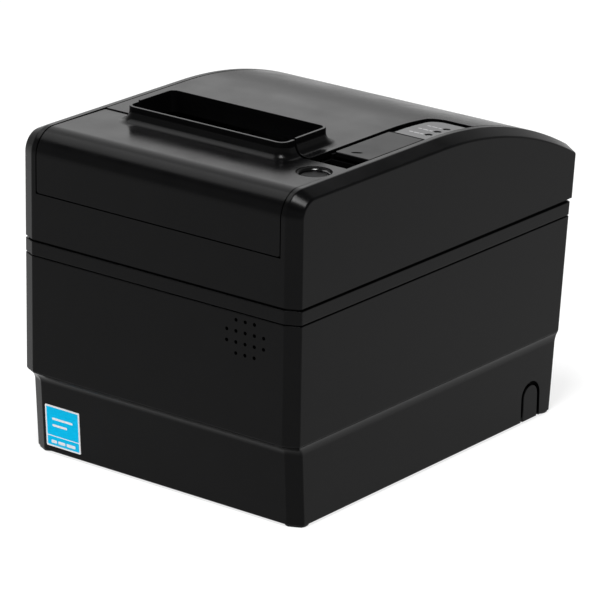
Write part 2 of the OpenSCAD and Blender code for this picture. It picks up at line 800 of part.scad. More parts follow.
// Upper case and covers
module upper_case() {
    tongue = open_half - 4;
    color(case_black) difference() {
        union() {
            difference() {
                up_solid(0, z_up);
                up_solid(wall, z_up - 1);
                box([-open_half, fy - 1, cover_z], [open_half, ry + 1, z_top + 1]);
                box([-open_half, hinge_y, skirt_z], [open_half, ry + 1, z_top + 1]);
                rod_x(-open_half, open_half, hinge_y, hinge_z, hinge_clear);
            }
            box([-tongue, fy + wall - eps, cover_z - 8], [tongue, fy + wall + nest, cover_z - 1]);
            box([-tongue, fy + wall + nest - eps, cover_z - 8], [tongue, fy + 2 * wall, cover_z + 4]);
            for (s = [-1, 1])
                rod_x(s > 0 ? open_half + slip : -half_w + wall - 0.5,
                      s > 0 ? half_w - wall + 0.5 : -open_half - slip, hinge_y, hinge_z, boss_r);
            box([open_half - rail_ledge, pocket_y, tray_z - wall], [half_w - wall + 0.5, label_y - 4, tray_z]);
        }
        for (s = [-1, 1])
            rod_x(s > 0 ? open_half : -half_w + wall, s > 0 ? half_w - wall : -open_half,
                  hinge_y, hinge_z, hinge_d / 2 + run_fit);
    }
}
module front_cover() {
    color(case_black) difference() {
        union() {
            intersection() {
                slotted_skin();
                box([-open_half, fy - 1, cover_z + cover_gap],
                    [open_half, split_y - cover_gap / 2, z_lip + 1]);
            }
            intersection() {
                rod_z(open_x, open_y, z_top - wall - 6, z_top - wall / 2, sleeve_r);
                across(cover_half) polygon(up_profile(wall / 2, z_up));
            }
        }
        rod_z(open_x, open_y, z_top - wall - 7, z_lip, open_d / 2 + slip);
        translate([open_x, open_y, z_top - open_sunk])
            cylinder(h = open_sunk + eps, r1 = open_d / 2 + slip, r2 = open_mouth / 2);
    }
}
module open_button() {
    face = z_top - open_sunk;
    foot = face - open_travel - 4.5;
    color(deep_black) {
        difference() {
            rod_z(open_x, open_y, foot, face, open_d / 2);
            rod_z(open_x, open_y, face - open_dish, face + 1, open_d / 2 - 1);
        }
        rod_z(open_x, open_y, pad_z + pad_gap, foot + 0.1, 2);
    }
}
module latch_lever() {
    hook = pivot_far - shaft_d / 2 - 0.4;
    color(part_white) difference() {
        union() {
            span_x(lever_x, lever_x + lever_t)
                translate([pivot_y, pivot_z]) {
                    circle(4.5);
                    polygon([[-3, -3], [3, -1], [-6.5, 12], [-13.5, 12], [-13.5, 9.5]]);
                    polygon([[-2, -2], [4, -3], [hook, 4], [hook, 9.5], [3, 9.5], [1, 3]]);
                }
            box([lever_x, pivot_y - 13.5, pad_z - pad_t], [open_x + 4, pivot_y - 6.5, pad_z]);
        }
        rod_x(lever_x - 1, lever_x + lever_t + 1, pivot_y, pivot_z, stud_d / 2 + run_fit);
    }
}
module latch_pin() {
    color(steel) {
        rod_x(frame_r + sheet, lever_x + lever_t + 0.6, pivot_y, pivot_z, stud_d / 2);
        rod_x(lever_x + lever_t + 0.5, lever_x + lever_t + 1.6, pivot_y, pivot_z, stud_d / 2 + 1);
    }
}
module paper_cover() {
    lug_out = cover_half;
    color(case_black) difference() {
        union() {
            difference() {
                intersection() {
                    slotted_skin();
                    box([-open_half, split_y + cover_gap / 2, skirt_z + cover_gap],
                        [open_half, ry + 1, z_lip + 1]);
                }
                translate([0, 0, z_up])
                    linear_extrude(z_lip - z_up)
                        strip_plan(strip_x - cover_gap / 2, half_w, fy, label_y + cover_gap, 7);
            }
            for (x = [slot_x - arm_in - arm_t, slot_x + arm_in])
                span_x(x, x + arm_t) {
                    translate([platen_y, platen_z]) circle(arm_r);
                    translate([platen_y - arm_r + 0.8, platen_z])
                        square([2 * arm_r, z_top - wall / 2 - platen_z]);
                }
            for (s = [-1, 1])
                span_x(s > 0 ? slot_x + arm_in - 3 : slot_x - arm_in - eps,
                       s > 0 ? slot_x + arm_in + eps : slot_x - arm_in + 3)
                    translate([platen_y, cutter_z + 4.4]) square([7, 2]);
            for (s = [-1, 1])
                span_x(s > 0 ? lug_out - lug_t : -lug_out, s > 0 ? lug_out : lug_t - lug_out) {
                    translate([hinge_y, hinge_z]) circle(boss_r + 1);
                    translate([hinge_y - 4, hinge_z]) square([10, top_at(hinge_y + 6, wall) - hinge_z + 1]);
                }
        }
        rod_x(-open_half, open_half, hinge_y, hinge_z, hinge_d / 2 + eps);
        rod_x(slot_x - arm_in - arm_t - 1, slot_x + arm_in + arm_t + 1,
              platen_y, platen_z, shaft_d / 2 + 1.5 + eps);
    }
}
module hinge_pins() {
    color(steel)
        for (s = [-1, 1])
            rod_x(s > 0 ? cover_half - lug_t : wall + 0.5 - half_w,
                  s > 0 ? half_w - wall - 0.5 : lug_t - cover_half, hinge_y, hinge_z, hinge_d / 2);
}
module platen_bushes() {
    color([0.75, 0.6, 0.35]) difference() {
        for (x = [slot_x - arm_in - arm_t, slot_x + arm_in])
            rod_x(x, x + arm_t, platen_y, platen_z, shaft_d / 2 + 1.5);
        rod_x(frame_l, frame_r, platen_y, platen_z, shaft_d / 2 + run_fit);
    }
}
module fixed_blade() {
    color(steel)
        box([slot_x - arm_in, platen_y - fixed_in, cutter_z + 3.4], [slot_x + arm_in, platen_y + 6, cutter_z + 4.4]);
}

// Platen
module platen_shaft() {
    color(steel) rod_x(gear_x0 - 1, shaft_end, platen_y, platen_z, shaft_d / 2);
}
module platen_rubber() {
    color(rubber_black) difference() {
        rod_x(slot_x - platen_half, slot_x + platen_half, platen_y, platen_z, platen_d / 2);
        rod_x(slot_x - slot_w, slot_x + slot_w, platen_y, platen_z, shaft_d / 2);
    }
}
// A tooth of the platen gear points at the idler, and a gap of the idler points back
lift_angle = atan2(idler_z - platen_z, idler_y - platen_y);
module platen_gear() {
    color(part_white) gear(platen_teeth, platen_y, platen_z, lift_angle, shaft_d / 2);
}

// Mechanism
function frame_holes() =
    [for (x = [frame_l + 5, frame_r - 5], y = [frame_y0 - tab / 2, frame_y1 + tab / 2]) [x, y]];
module frame_plan(lowest) {
    polygon([[frame_y0 - tab, z_seam], [frame_y0 - tab, z_seam + 8], [frame_y0, z_seam + 8],
             [frame_y0, cutter_z], [cross_y + 4, cutter_z], [cross_y + 4, frame_top], [frame_y1, frame_top],
             [frame_y1, z_seam + 8], [frame_y1 + tab, z_seam + 8], [frame_y1 + tab, z_seam],
             [pinion_y + 16, z_seam], [pinion_y + 16, lowest], [pinion_y - 16, lowest],
             [pinion_y - 16, z_seam]]);
}
module shaft_notch() {
    r = shaft_d / 2 + 0.5;
    translate([platen_y, platen_z]) {
        circle(r);
        polygon([[-r, 0], [r, 0], [r + 2, frame_top - platen_z + 1], [-r - 0.4, frame_top - platen_z + 1]]);
    }
}
module mech_frame() {
    color(steel) difference() {
        union() {
            span_x(frame_l - sheet, frame_l) difference() {
                frame_plan(pinion_z - 14);
                shaft_notch();
            }
            span_x(frame_r, frame_r + sheet) difference() {
                frame_plan(z_seam);
                shaft_notch();
            }
            box([frame_l - eps, cross_y - sheet, head_z0], [frame_r + eps, cross_y, head_z1]);
            for (s = [-1, 1], y = [frame_y0 - tab, frame_y1])
                box([s > 0 ? frame_r - 9 : frame_l - eps, y, z_seam],
                    [s > 0 ? frame_r + eps : frame_l + 9, y + tab, z_seam + sheet]);
        }
        for (p = frame_holes())
            rod_z(p[0], p[1], z_seam - 1, z_seam + sheet + 1, screw_r + run_fit);
        rod_x(frame_l - sheet - 1, frame_l + 1, pinion_y, pinion_z, 5 + nest);
    }
}
module frame_screws() {
    color(steel)
        for (p = frame_holes())
            translate([p[0], p[1], z_seam + sheet]) screw(sheet + deck_t + 1);
}
module gear_stud() {
    color(steel) {
        rod_x(gear_x0 - 0.6, frame_l - sheet, idler_y, idler_z, stud_d / 2);
        rod_x(gear_x0 - 1.6, gear_x0 - 0.5, idler_y, idler_z, stud_d / 2 + 1.5);
    }
}
module idler_gear() {
    turn = lift_angle + 180 + 180 / idler_teeth;
    color(part_white) gear(idler_teeth, idler_y, idler_z, turn, stud_d / 2 + run_fit);
}
module stepper_motor() {
    color(steel) difference() {
        union() {
            rod_x(frame_l, frame_l + motor_l, pinion_y, pinion_z, motor_d / 2);
            rod_x(frame_l - sheet, frame_l + 1, pinion_y, pinion_z, 5);
        }
        rod_x(frame_l - sheet - 1, frame_l + 10, pinion_y, pinion_z, 1.5 + run_fit);
    }
}
// The idler's turn at the pinion, carried over so that a pinion tooth meets an idler gap
idler_phase = lift_angle + 180 + 180 / idler_teeth;
phase_at = (pinion_angle - idler_phase) * idler_teeth / 360;
pinion_turn = pinion_angle + 180 + (phase_at - floor(phase_at) - 0.5) * 360 / pinion_teeth;
module motor_pinion() {
    color(steel) {
        gear(pinion_teeth, pinion_y, pinion_z, pinion_turn, 1.4);
        rod_x(gear_x0, frame_l + 9, pinion_y, pinion_z, 1.5);
    }
}
module print_head() {
    color([0.8, 0.78, 0.72])
        box([slot_x - platen_half, head_y - head_t, head_z0 + 4], [slot_x + platen_half, head_y, head_z1]);
}
module heat_sink() {
    color(steel)
        box([slot_x - platen_half, head_y - head_t - sink_t, head_z0],
            [slot_x + platen_half, head_y - head_t, head_z1]);
}
module head_spring() {
    strip = 0.5;
    y0 = cross_y + 0.1;
    y1 = cross_y + spring_room - 0.1 - strip;
    wave = [for (i = [0 : 6]) [slot_x - 30 + 10 * i, i % 2 == 0 ? y0 : y1]];
    color(steel)
        translate([0, 0, platen_z - 5])
            linear_extrude(6)
                polygon(concat(wave, [for (i = [6 : -1 : 0]) wave[i] + [0, strip]]));
}

// Cutter
blade_y0 = frame_y0 - 5;
blade_over = 2.2;
cutter_r = 8;
cutter_l = 24;
blade_y1 = platen_y - fixed_in + blade_over - cut_travel;
module cutter_frame() {
    color(steel) {
        box([frame_l - sheet, frame_y0 - 9, cutter_z], [frame_r + sheet, blade_y1 + 0.3, cutter_z + sheet]);
        for (s = [-1, 1])
            box([s > 0 ? slot_x + platen_half + slip : frame_l - sheet, frame_y0 - 8, cutter_z + sheet - eps],
                [s > 0 ? frame_r + sheet : slot_x - platen_half - slip, blade_y1 - 1, cutter_z + sheet + 2]);
    }
}
module cutter_blade() {
    dip = 1.5;
    color(steel)
        translate([slot_x, 0, cutter_z + sheet + nest])
            linear_extrude(1)
                polygon([[-platen_half, blade_y0], [platen_half, blade_y0], [platen_half, blade_y1],
                         [0, blade_y1 - dip], [-platen_half, blade_y1]]);
}
module cutter_motor() {
    mid_y = cross_y - sheet - 0.5 - cutter_r;
    x0 = frame_l + 10;
    color(steel) {
        rod_x(x0, x0 + cutter_l, mid_y, cutter_z - cutter_r - 0.2, cutter_r);
        box([x0 + 2, mid_y - cutter_r + 1, cutter_z - cutter_r - 1], [x0 + cutter_l - 2, mid_y + cutter_r - 1, cutter_z]);
    }
}

// Controls
module control_tray() {
    wall_top = z_top - 1.2;
    color(deep_black) difference() {
        union() {
            difference() {
                box([tray_x0, tray_y0, z_top - pocket_deep - tray_t],
                    [tray_x1, pocket_y, wall_top - 2]);
                box([tray_x0 + tray_wall, tray_y0 + tray_wall, z_top - pocket_deep],
                    [tray_x1 - tray_wall, pocket_y - tray_wall, z_top]);
            }
            translate([0, 0, tray_z])
                linear_extrude(tray_t) strip_plan(tray_x0, tray_x1, pocket_y - eps, label_y, 6.5);
            box([tray_x0, pocket_y - eps, tray_z], [tray_x0 + tray_wall, feed_y, wall_top]);
            intersection() {
                across(half_w) polygon(up_profile(label_sunk + label_t, z_up));
                translate([0, 0, tray_z])
                    linear_extrude(z_top - tray_z)
                        strip_plan(tray_x0 + tray_wall, tray_x1, feed_y + slip, label_y, 6);
            }
            for (p = tray_posts())
                rod_z(p[0], p[1], tray_z - panel_gap, tray_z + eps, 2.5);
        }
        rod_z(feed_x, pocket_y + feed_l / 2, tray_z - 1, tray_z + tray_t + 1, 2 + slip);
        for (i = [0 : 2])
            rod_z(lamp_x, lamp_y(i), tray_z - 1, z_top, lamp_d / 2 + run_fit);
    }
}
function tray_posts() =
    [[tray_x0 + 6, pocket_y + 6], [tray_x1 - 5, feed_y - 4], [tray_x0 + 6, label_y - 6]];
function lamp_y(i) = (feed_y + label_end) / 2 + (i - 1) * lamp_step - 1.4;
module feed_button() {
    color(case_black) {
        box([tray_x0 + tray_wall + slip, pocket_y + slip, z_top - feed_t],
            [tray_x1, feed_y - label_gap, z_top]);
        rod_z(feed_x, pocket_y + feed_l / 2, tray_z, z_top - feed_t + eps, 2);
    }
}
module feed_switch() {
    top = tray_z - panel_gap;
    y = pocket_y + feed_l / 2;
    color(deep_black) box([feed_x - 3, y - 3, top], [feed_x + 3, y + 3, top + switch_h]);
}
module status_label() {
    color(grey_label) difference() {
        intersection() {
            difference() {
                across(half_w) polygon(up_profile(label_sunk, z_up));
                across(half_w + 1) polygon(up_profile(label_sunk + label_t, z_up - 1));
            }
            translate([0, 0, tray_z])
                linear_extrude(z_lip - tray_z)
                    strip_plan(label_x0, tray_x1, feed_y + label_gap, label_end, 6);
        }
        for (i = [0 : 2])
            rod_z(lamp_x, lamp_y(i), tray_z - 1, z_lip, lamp_d / 2 + run_fit);
    }
}
module status_lamps() {
    color([0.55, 0.6, 0.58])
        for (i = [0 : 2])
            rod_z(lamp_x, lamp_y(i), tray_z - panel_gap, top_at(lamp_y(i), label_sunk + lamp_sunk), lamp_d / 2);
}
module panel_board() {
    top = tray_z - panel_gap;
    color(board_green)
        box([tray_x0 + 3, pocket_y + 2, top - board_t], [tray_x1 - 0.5, label_y - 2, top]);
}

base_tray();
base_plate();
rubber_feet();
base_screws();
cable_plug();
front_tag();
power_board();
transformer();
capacitors();
power_inlet();
switch_housing();
power_rocker();
lower_case();
sounder();
main_board();
main_chips();
interface_plate();
interface_board();
serial_socket();
network_socket();
usb_socket();
drawer_socket();
middle_frame();
case_screws();
paper_bucket();
paper_end_sensor();
upper_case();
front_cover();
open_button();
latch_lever();
latch_pin();
paper_cover();
hinge_pins();
platen_bushes();
fixed_blade();
platen_shaft();
platen_rubber();
platen_gear();
mech_frame();
frame_screws();
gear_stud();
idler_gear();
stepper_motor();
motor_pinion();
print_head();
heat_sink();
head_spring();
cutter_frame();
cutter_blade();
cutter_motor();
control_tray();
feed_button();
feed_switch();
status_label();
status_lamps();
panel_board();
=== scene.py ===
import bmesh
import bpy
import numpy as np
from mathutils import Matrix, Vector
from mathutils.geometry import delaunay_2d_cdt


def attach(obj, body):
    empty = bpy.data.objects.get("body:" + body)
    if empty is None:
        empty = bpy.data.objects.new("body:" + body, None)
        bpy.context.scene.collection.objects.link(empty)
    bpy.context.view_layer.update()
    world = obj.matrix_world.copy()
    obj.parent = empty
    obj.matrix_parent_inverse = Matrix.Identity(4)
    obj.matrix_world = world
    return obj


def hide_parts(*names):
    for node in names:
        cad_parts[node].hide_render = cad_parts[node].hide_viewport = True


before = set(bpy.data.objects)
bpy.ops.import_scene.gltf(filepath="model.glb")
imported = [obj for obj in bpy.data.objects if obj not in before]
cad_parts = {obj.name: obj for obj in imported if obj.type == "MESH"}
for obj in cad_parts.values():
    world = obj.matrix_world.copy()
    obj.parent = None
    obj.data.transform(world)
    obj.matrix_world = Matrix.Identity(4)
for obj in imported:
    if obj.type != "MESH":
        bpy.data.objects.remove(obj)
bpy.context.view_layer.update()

# Studio: a white floor that keeps a faint contact shadow, pale surroundings that the satin
# plastic mirrors, two softboxes overhead, and a long lens at the photograph's viewing angle.
scene = bpy.context.scene
scene.view_settings.view_transform = "Standard"
focal_px, sensor_mm, frame_px, middle_px = 4121.0, 36.0, 600.0, (0.569, -29.18)
target, distance, roll = Vector((0.0, -0.003, 0.0712)), 1.73975, np.radians(0.911)
back = Vector((0.578858, -0.748118, 0.324413)).normalized()
level = Vector((0, 0, 1)).cross(back).normalized()
upright = back.cross(level)
right = level * np.cos(roll) + upright * np.sin(roll)
up = upright * np.cos(roll) - level * np.sin(roll)
aim = (-back + right * (middle_px[0] / focal_px) + up * (middle_px[1] / focal_px)).normalized()
right = (right - aim * right.dot(aim)).normalized()
lens = bpy.data.cameras.new("camera")
lens.sensor_width, lens.lens = sensor_mm, focal_px / frame_px * sensor_mm
lens.clip_start, lens.clip_end = 0.05, 50
camera = bpy.data.objects.new("camera", lens)
camera.matrix_world = Matrix.Translation(target + back * distance) @ Matrix(
    [right, right.cross(aim), -aim]).transposed().to_4x4()
scene.collection.objects.link(camera)
scene.camera = camera


def wire(tree, links):
    """Joins node sockets given as (node, output, node, input) rows."""
    for a, out, b, into in links:
        tree.links.new(a.outputs[out], b.inputs[into])


def add_node(tree, kind, values=(), **settings):
    """A new shader node with its settings made and constants put on its input sockets."""
    made = tree.nodes.new("ShaderNode" + kind)
    for setting, value in settings.items():
        setattr(made, setting, value)
    for socket, value in dict(values).items():
        made.inputs[socket].default_value = value
    return made


world = bpy.data.worlds.new("studio")
scene.world = world
world.use_nodes = True
tree = world.node_tree
tree.nodes.clear()
ramp = ("From Min", "From Max", "To Min", "To Max")
where, height, sky, out = (add_node(tree, kind)
                           for kind in ("TexCoord", "SeparateXYZ", "Background", "OutputWorld"))
facing = add_node(tree, "VectorMath", {1: Vector((-0.6, 0.55, 0.55)).normalized()}, operation="DOT_PRODUCT")
wall_glow, rear_glow = (add_node(tree, "MapRange", zip(ramp, values), interpolation_type="SMOOTHSTEP")
                        for values in ((0.36, 0.62, 0.62, 0.14), (0.86, 0.93, 0.0, 2.35)))
level_by = add_node(tree, "Math", operation="MAXIMUM")
wire(tree, [(where, "Generated", height, 0), (height, "Z", wall_glow, "Value"),
            (where, "Generated", facing, 0), (facing, "Value", rear_glow, "Value"),
            (wall_glow, 0, level_by, 0), (rear_glow, 0, level_by, 1),
            (level_by, 0, sky, "Strength"), (sky, 0, out, "Surface")])

for name, wide, deep, watts, at in (("softbox", 0.34, 0.6, 22, (0.2, -0.42, 1.5)),
                                    ("side_box", 0.8, 0.6, 5.5, (-0.85, -0.25, 1.2))):
    box = bpy.data.lights.new(name, "AREA")
    box.shape, box.size, box.size_y, box.energy = "RECTANGLE", wide, deep, watts
    lamp = bpy.data.objects.new(name, box)
    lamp.location = at
    lamp.rotation_euler = (target - lamp.location).to_track_quat("-Z", "Y").to_euler()
    scene.collection.objects.link(lamp)

floor_half = 4.0
floor_mesh = bpy.data.meshes.new("floor")
floor_corners = [(x * floor_half, y * floor_half, 0) for x, y in ((-1, -1), (1, -1), (1, 1), (-1, 1))]
floor_mesh.from_pydata(floor_corners, [], [(0, 1, 2, 3)])
floor = bpy.data.objects.new("floor", floor_mesh)
scene.collection.objects.link(floor)
floor_white = bpy.data.materials.new("floor_white")
floor_white.use_nodes = True
tree = floor_white.node_tree
tree.nodes.clear()
seen, both, choose, out = (add_node(tree, kind)
                           for kind in ("LightPath", "AddShader", "MixShader", "OutputMaterial"))
either, any_of = (add_node(tree, "Math", operation="MAXIMUM") for _ in range(2))
bounce, shadowed = (add_node(tree, "BsdfDiffuse", {"Color": (tone, tone, tone, 1)}) for tone in (0.8, 0.3))
lit = add_node(tree, "Emission", {"Strength": 0.76})
wire(tree, [(seen, "Is Camera Ray", either, 0), (seen, "Is Glossy Ray", either, 1), (either, 0, any_of, 0),
            (seen, "Is Transmission Ray", any_of, 1), (any_of, 0, choose, 0), (bounce, 0, choose, 1),
            (shadowed, 0, both, 0), (lit, 0, both, 1), (both, 0, choose, 2), (choose, 0, out, "Surface")])
floor_mesh.materials.append(floor_white)

# Base tray: the lower shell of the housing, a black ABS moulding with sloping walls, chamfered
# corners and a concave shoulder under the lower case. Sizes are in millimetres from here on.
mm = 0.001
half_w, front_y, wall = 72.5, -98.0, 2.5
edge_x, edge_d = 6.3, 3.0
z_base, z_low = 0.8, 36.3
lean = np.radians(5.0)
rear_off, rear_step = 87.4667, 1.3
base_front_in, base_side_in = 5.5, 1.4
shoulder_h, shoulder_in, shoulder_top_in = 4.6, 3.5, 0.2
plug_y, plug_w, plug_h = 68.82, 13.7, 17.3


def rear_wall(z, inset=0.0):
    """Rear face of everything below the upper case: a plane that leans out with height, moved in by
    inset."""
    return (rear_off - rear_step - inset + z * np.sin(lean)) / np.cos(lean)


def stacked(*coordinates):
    """Coordinates joined into points, each spread over the shape of all of them."""
    return np.stack(np.broadcast_arrays(*coordinates), -1)


def unit(ways):
    """Directions brought to length 1."""
    return ways / np.linalg.norm(ways, axis=-1, keepdims=True)


def rounded(corners, radius, steps=4):
    """Closed lines through corners (..., n, 2), each corner replaced by an arc of its radius that
    touches both sides, given as steps + 1 points."""
    corners = np.asarray(corners, float)
    before, after = unit(corners - np.roll(corners, 1, -2)), unit(np.roll(corners, -1, -2) - corners)
    turn = np.arctan2(before[..., 0] * after[..., 1] - before[..., 1] * after[..., 0],
                      (before * after).sum(-1))[..., None]
    side = stacked(-before[..., 1], before[..., 0]) * np.sign(turn)
    radius = np.broadcast_to(np.asarray(radius, float)[..., None], turn.shape)
    middle = corners - before * radius * np.tan(abs(turn) / 2) + side * radius
    sweep = (abs(turn) * np.linspace(0, 1, steps + 1))[..., None]
    points = (middle[..., None, :] + radius[..., None]
              * (before[..., None, :] * np.sin(sweep) - side[..., None, :] * np.cos(sweep)))
    return points.reshape(*corners.shape[:-2], -1, 2)


def case_outline(front, side, rear, inset, corner_r):
    """The case seen from above at each level: front, sides and rear joined by chamfers, every edge
    moved in by inset, and the eight corners rounded by corner_r less the inset."""
    front, side, rear, inset, corner_r = np.broadcast_arrays(front, side, rear, inset, corner_r)
    slant = np.hypot(edge_x, edge_d)
    nx, ny = edge_d / slant, edge_x / slant
    f, s, r = front + inset, side - inset, rear - inset
    reach_f = nx * side - ny * (front + edge_d) - inset
    reach_r = nx * side + ny * (rear - edge_d) - inset
    x_f, y_f = (reach_f + ny * f) / nx, (nx * s - reach_f) / ny
    x_r, y_r = (reach_r - ny * r) / nx, (reach_r - nx * s) / ny
    corners = np.stack([stacked(*c) for c in ((x_f, f), (s, y_f), (s, y_r), (x_r, r),
                                              (-x_r, r), (-s, y_r), (-s, y_f), (-x_f, f))], -2)
    return rounded(corners, np.repeat(np.maximum(corner_r - inset, 0.1)[..., None], 8, -1))


def cells(shape, wrap=False):
    """Faces between the neighbouring rows and columns of a grid of points; wrap joins the last
    column to the first. They come as (rows - 1, columns, 4)."""
    index = np.arange(shape[0] * shape[1]).reshape(shape[:2])
    left, right = (index, np.roll(index, -1, 1)) if wrap else (index[:, :-1], index[:, 1:])
    return stacked(left[:-1], right[:-1], right[1:], left[1:])


def at_level(loops, z):
    """Lines in plan (..., 2) lifted to their heights."""
    return stacked(loops[..., 0], loops[..., 1], np.asarray(z, float)[..., None])


def arc(middle, radius, angle):
    """Points round middle at the angles, on a circle or, with two radii, on an ellipse."""
    return np.asarray(middle) + np.asarray(radius) * stacked(np.cos(angle), np.sin(angle))


def circle(middle, radius, count, way=1):
    """A closed circle or ellipse of count points; way -1 takes it clockwise, for an opening."""
    return arc(middle, radius, np.linspace(0, way * 2 * np.pi, count, endpoint=False))


def square(x0, y0, x1, y1):
    """The corners of a rectangle, anticlockwise."""
    return np.array([[x0, y0], [x1, y0], [x1, y1], [x0, y1]], float)


def square_loop(x0, y0, x1, y1, r=0.3, steps=3):
    """A rectangle with rounded corners, anticlockwise; r is one radius or four."""
    return rounded(square(x0, y0, x1, y1), np.full(4, r), steps)


def lids(grid):
    """The two faces that close the first and the last row of a grid of closed rows."""
    n, m = grid.shape[:2]
    return [np.arange(m)[None], np.arange((n - 1) * m, n * m)[None]]


def loft(grid, closed=False):
    """A grid of closed rows with its faces, and with a lid on each end if closed."""
    return grid, [cells(grid.shape, wrap=True), *(lids(grid) if closed else [])]


def settle(name, mesh, material, body, nodes):
    """Puts a mesh into the scene as a piece that rides on its body and stands for CAD nodes."""
    made = bpy.data.objects.new(name, mesh)
    mesh.materials.append(material)
    scene.collection.objects.link(made)
    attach(made, body)
    if nodes:
        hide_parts(*nodes)
    return made


def piece(name, parts, material, body, nodes=(), sharp=40, bevel=0):
    """One closed object from parts, each a grid or list of points in millimetres and its face
    arrays. Doubles are merged, faces turned outward, and large faces lead the shading."""
    points = [np.asarray(p, float).reshape(-1, 3) for p, _ in parts]
    starts = np.cumsum([0] + [len(p) for p in points])
    faces = [row for (_, arrays), start in zip(parts, starts)
             for a in arrays for row in (np.asarray(a).reshape(-1, np.shape(a)[-1]) + start).tolist()]
    mesh = bpy.data.meshes.new(name)
    mesh.from_pydata((np.concatenate(points) * mm).tolist(), [], faces)
    shell = bmesh.new()
    shell.from_mesh(mesh)
    bmesh.ops.remove_doubles(shell, verts=shell.verts, dist=2e-6)
    bmesh.ops.dissolve_degenerate(shell, edges=shell.edges, dist=1e-7)
    bmesh.ops.recalc_face_normals(shell, faces=shell.faces)
    shell.to_mesh(mesh)
    shell.free()
    mesh.shade_smooth()
    mesh.set_sharp_from_angle(angle=np.pi if bevel else np.radians(sharp))
    made = settle(name, mesh, material, body, nodes)
    if bevel:
        soften = made.modifiers.new("edges", "BEVEL")
        soften.width, soften.segments, soften.limit_method = bevel * mm, 3, "ANGLE"
        soften.angle_limit, soften.use_clamp_overlap = np.radians(sharp), True
    made.modifiers.new("shading", "WEIGHTED_NORMAL").keep_sharp = True


def grained(name, dark, light, rough, grain, bump, stretch=(1, 1, 1), patch=16.0, metallic=0.0, specular=0.5):
    """A finish in Object coordinates: a broad noise (patch, mm) moves the tone between dark and
    light and the roughness between its two values, and a fine one (grain, mm) raises the grain."""
    made = bpy.data.materials.new(name)
    made.use_nodes = True
    tree = made.node_tree
    shader = tree.nodes["Principled BSDF"]
    for socket, value in (("Metallic", metallic), ("Specular IOR Level", specular), ("IOR", 1.45)):
        shader.inputs[socket].default_value = value
    where = add_node(tree, "TexCoord")
    turn = add_node(tree, "Mapping", {"Scale": stretch})
    broad = add_node(tree, "TexNoise", {"Scale": 1000 / patch, "Detail": 4})
    fine = add_node(tree, "TexNoise", {"Scale": 1000 / grain, "Detail": 2})
    tone = add_node(tree, "Mix", {"A": (*dark, 1), "B": (*light, 1)}, data_type="RGBA")
    gloss = add_node(tree, "MapRange", zip(ramp, (0.3, 0.7, *rough)))
    raise_grain = add_node(tree, "Bump", {"Strength": bump, "Distance": 0.1 * mm})
    wire(tree, [(where, "Object", turn, "Vector"), (turn, 0, broad, "Vector"), (turn, 0, fine, "Vector"),
                (broad, 0, tone, "Factor"), (tone, "Result", shader, "Base Color"),
                (broad, 0, gloss, "Value"), (gloss, 0, shader, "Roughness"),
                (fine, 0, raise_grain, "Height"), (raise_grain, 0, shader, "Normal")])
    return made


def followers(loops):
    """The number of the next point on its own closed line, for each point of all lines in order."""
    sizes = [len(loop) for loop in loops]
    return np.concatenate([a + (np.arange(n) + 1) % n for a, n in zip(np.cumsum([0] + sizes), sizes)])


def inside(points, loops):
    """Which points lie within closed lines, by counting the sides that a ray crosses."""
    a = np.concatenate(loops)
    b = a[followers(loops)]
    over = (a[:, 1] > points[:, 1:]) != (b[:, 1] > points[:, 1:])
    rise = np.where(b[:, 1] == a[:, 1], 1, b[:, 1] - a[:, 1])
    cross = a[:, 0] + (points[:, 1:] - a[:, 1]) * (b[:, 0] - a[:, 0]) / rise
    return ((over & (points[:, :1] < cross)).sum(1) % 2) == 1


def filled(loops, lines=()):
    """Triangles between closed lines in a plane, with every side kept as an edge, and also the
    stretches of the level lines v = lines that lie inside. Returns the triangles' corners as
    numbers of the points of the loops in order."""
    points, after = np.concatenate(loops), followers(loops)
    edges = [stacked(np.arange(len(after)), after)]
    for level in lines:
        on = np.flatnonzero(abs(points[:, 1] - level) < 1e-6)
        on = on[np.argsort(points[on, 0])]
        pairs = stacked(on[:-1], on[1:])
        edges.append(pairs[inside(points[pairs].mean(1), loops)])
    found = delaunay_2d_cdt(list(map(Vector, points.tolist())), np.concatenate(edges).tolist(), [], 0, 1e-5)
    triangles = np.array([o[0] for o in found[3]])[np.array(found[2])]
    return triangles[inside(points[triangles].mean(1), loops)]


def opened(grid, out_rows, in_rows, col, openings, y_out, y_in):
    """Both faces of a flat stretch of a hollow loft, one column between two rows each, filled round
    openings in (x, z), and the walls of these; y_out and y_in give the faces' depth by height."""
    after, parts = (col + 1) % grid.shape[1], []
    for (first, last), y_at in ((out_rows, y_out), (in_rows, y_in)):
        border = np.concatenate([grid[first:last + 1, col], grid[first:last + 1, after][::-1]])
        loops = [border[:, [0, 2]], *openings]
        x, z = np.concatenate(loops).T
        parts.append((stacked(x, y_at(z), z), [filled(loops)]))
    return parts + [loft(np.stack([stacked(x, y_at(z), z) for y_at in (y_out, y_in)]))
                    for x, z in (opening.T for opening in openings)]


def rear_window(x, z, wide, high, corner_r):
    """An opening in the leaning rear wall, clockwise in (x, z)."""
    w, h = wide / 2, high / 2 * np.cos(lean)
    return square_loop(x - w, z - h, x + w, z + h, corner_r, 4)[::-1]


case_tones = (0.0012, 0.0012, 0.0013), (0.0026, 0.0026, 0.0028)
case_plastic = grained("case_plastic", *case_tones, (0.2, 0.27), grain=0.4, bump=0.04, specular=0.09)

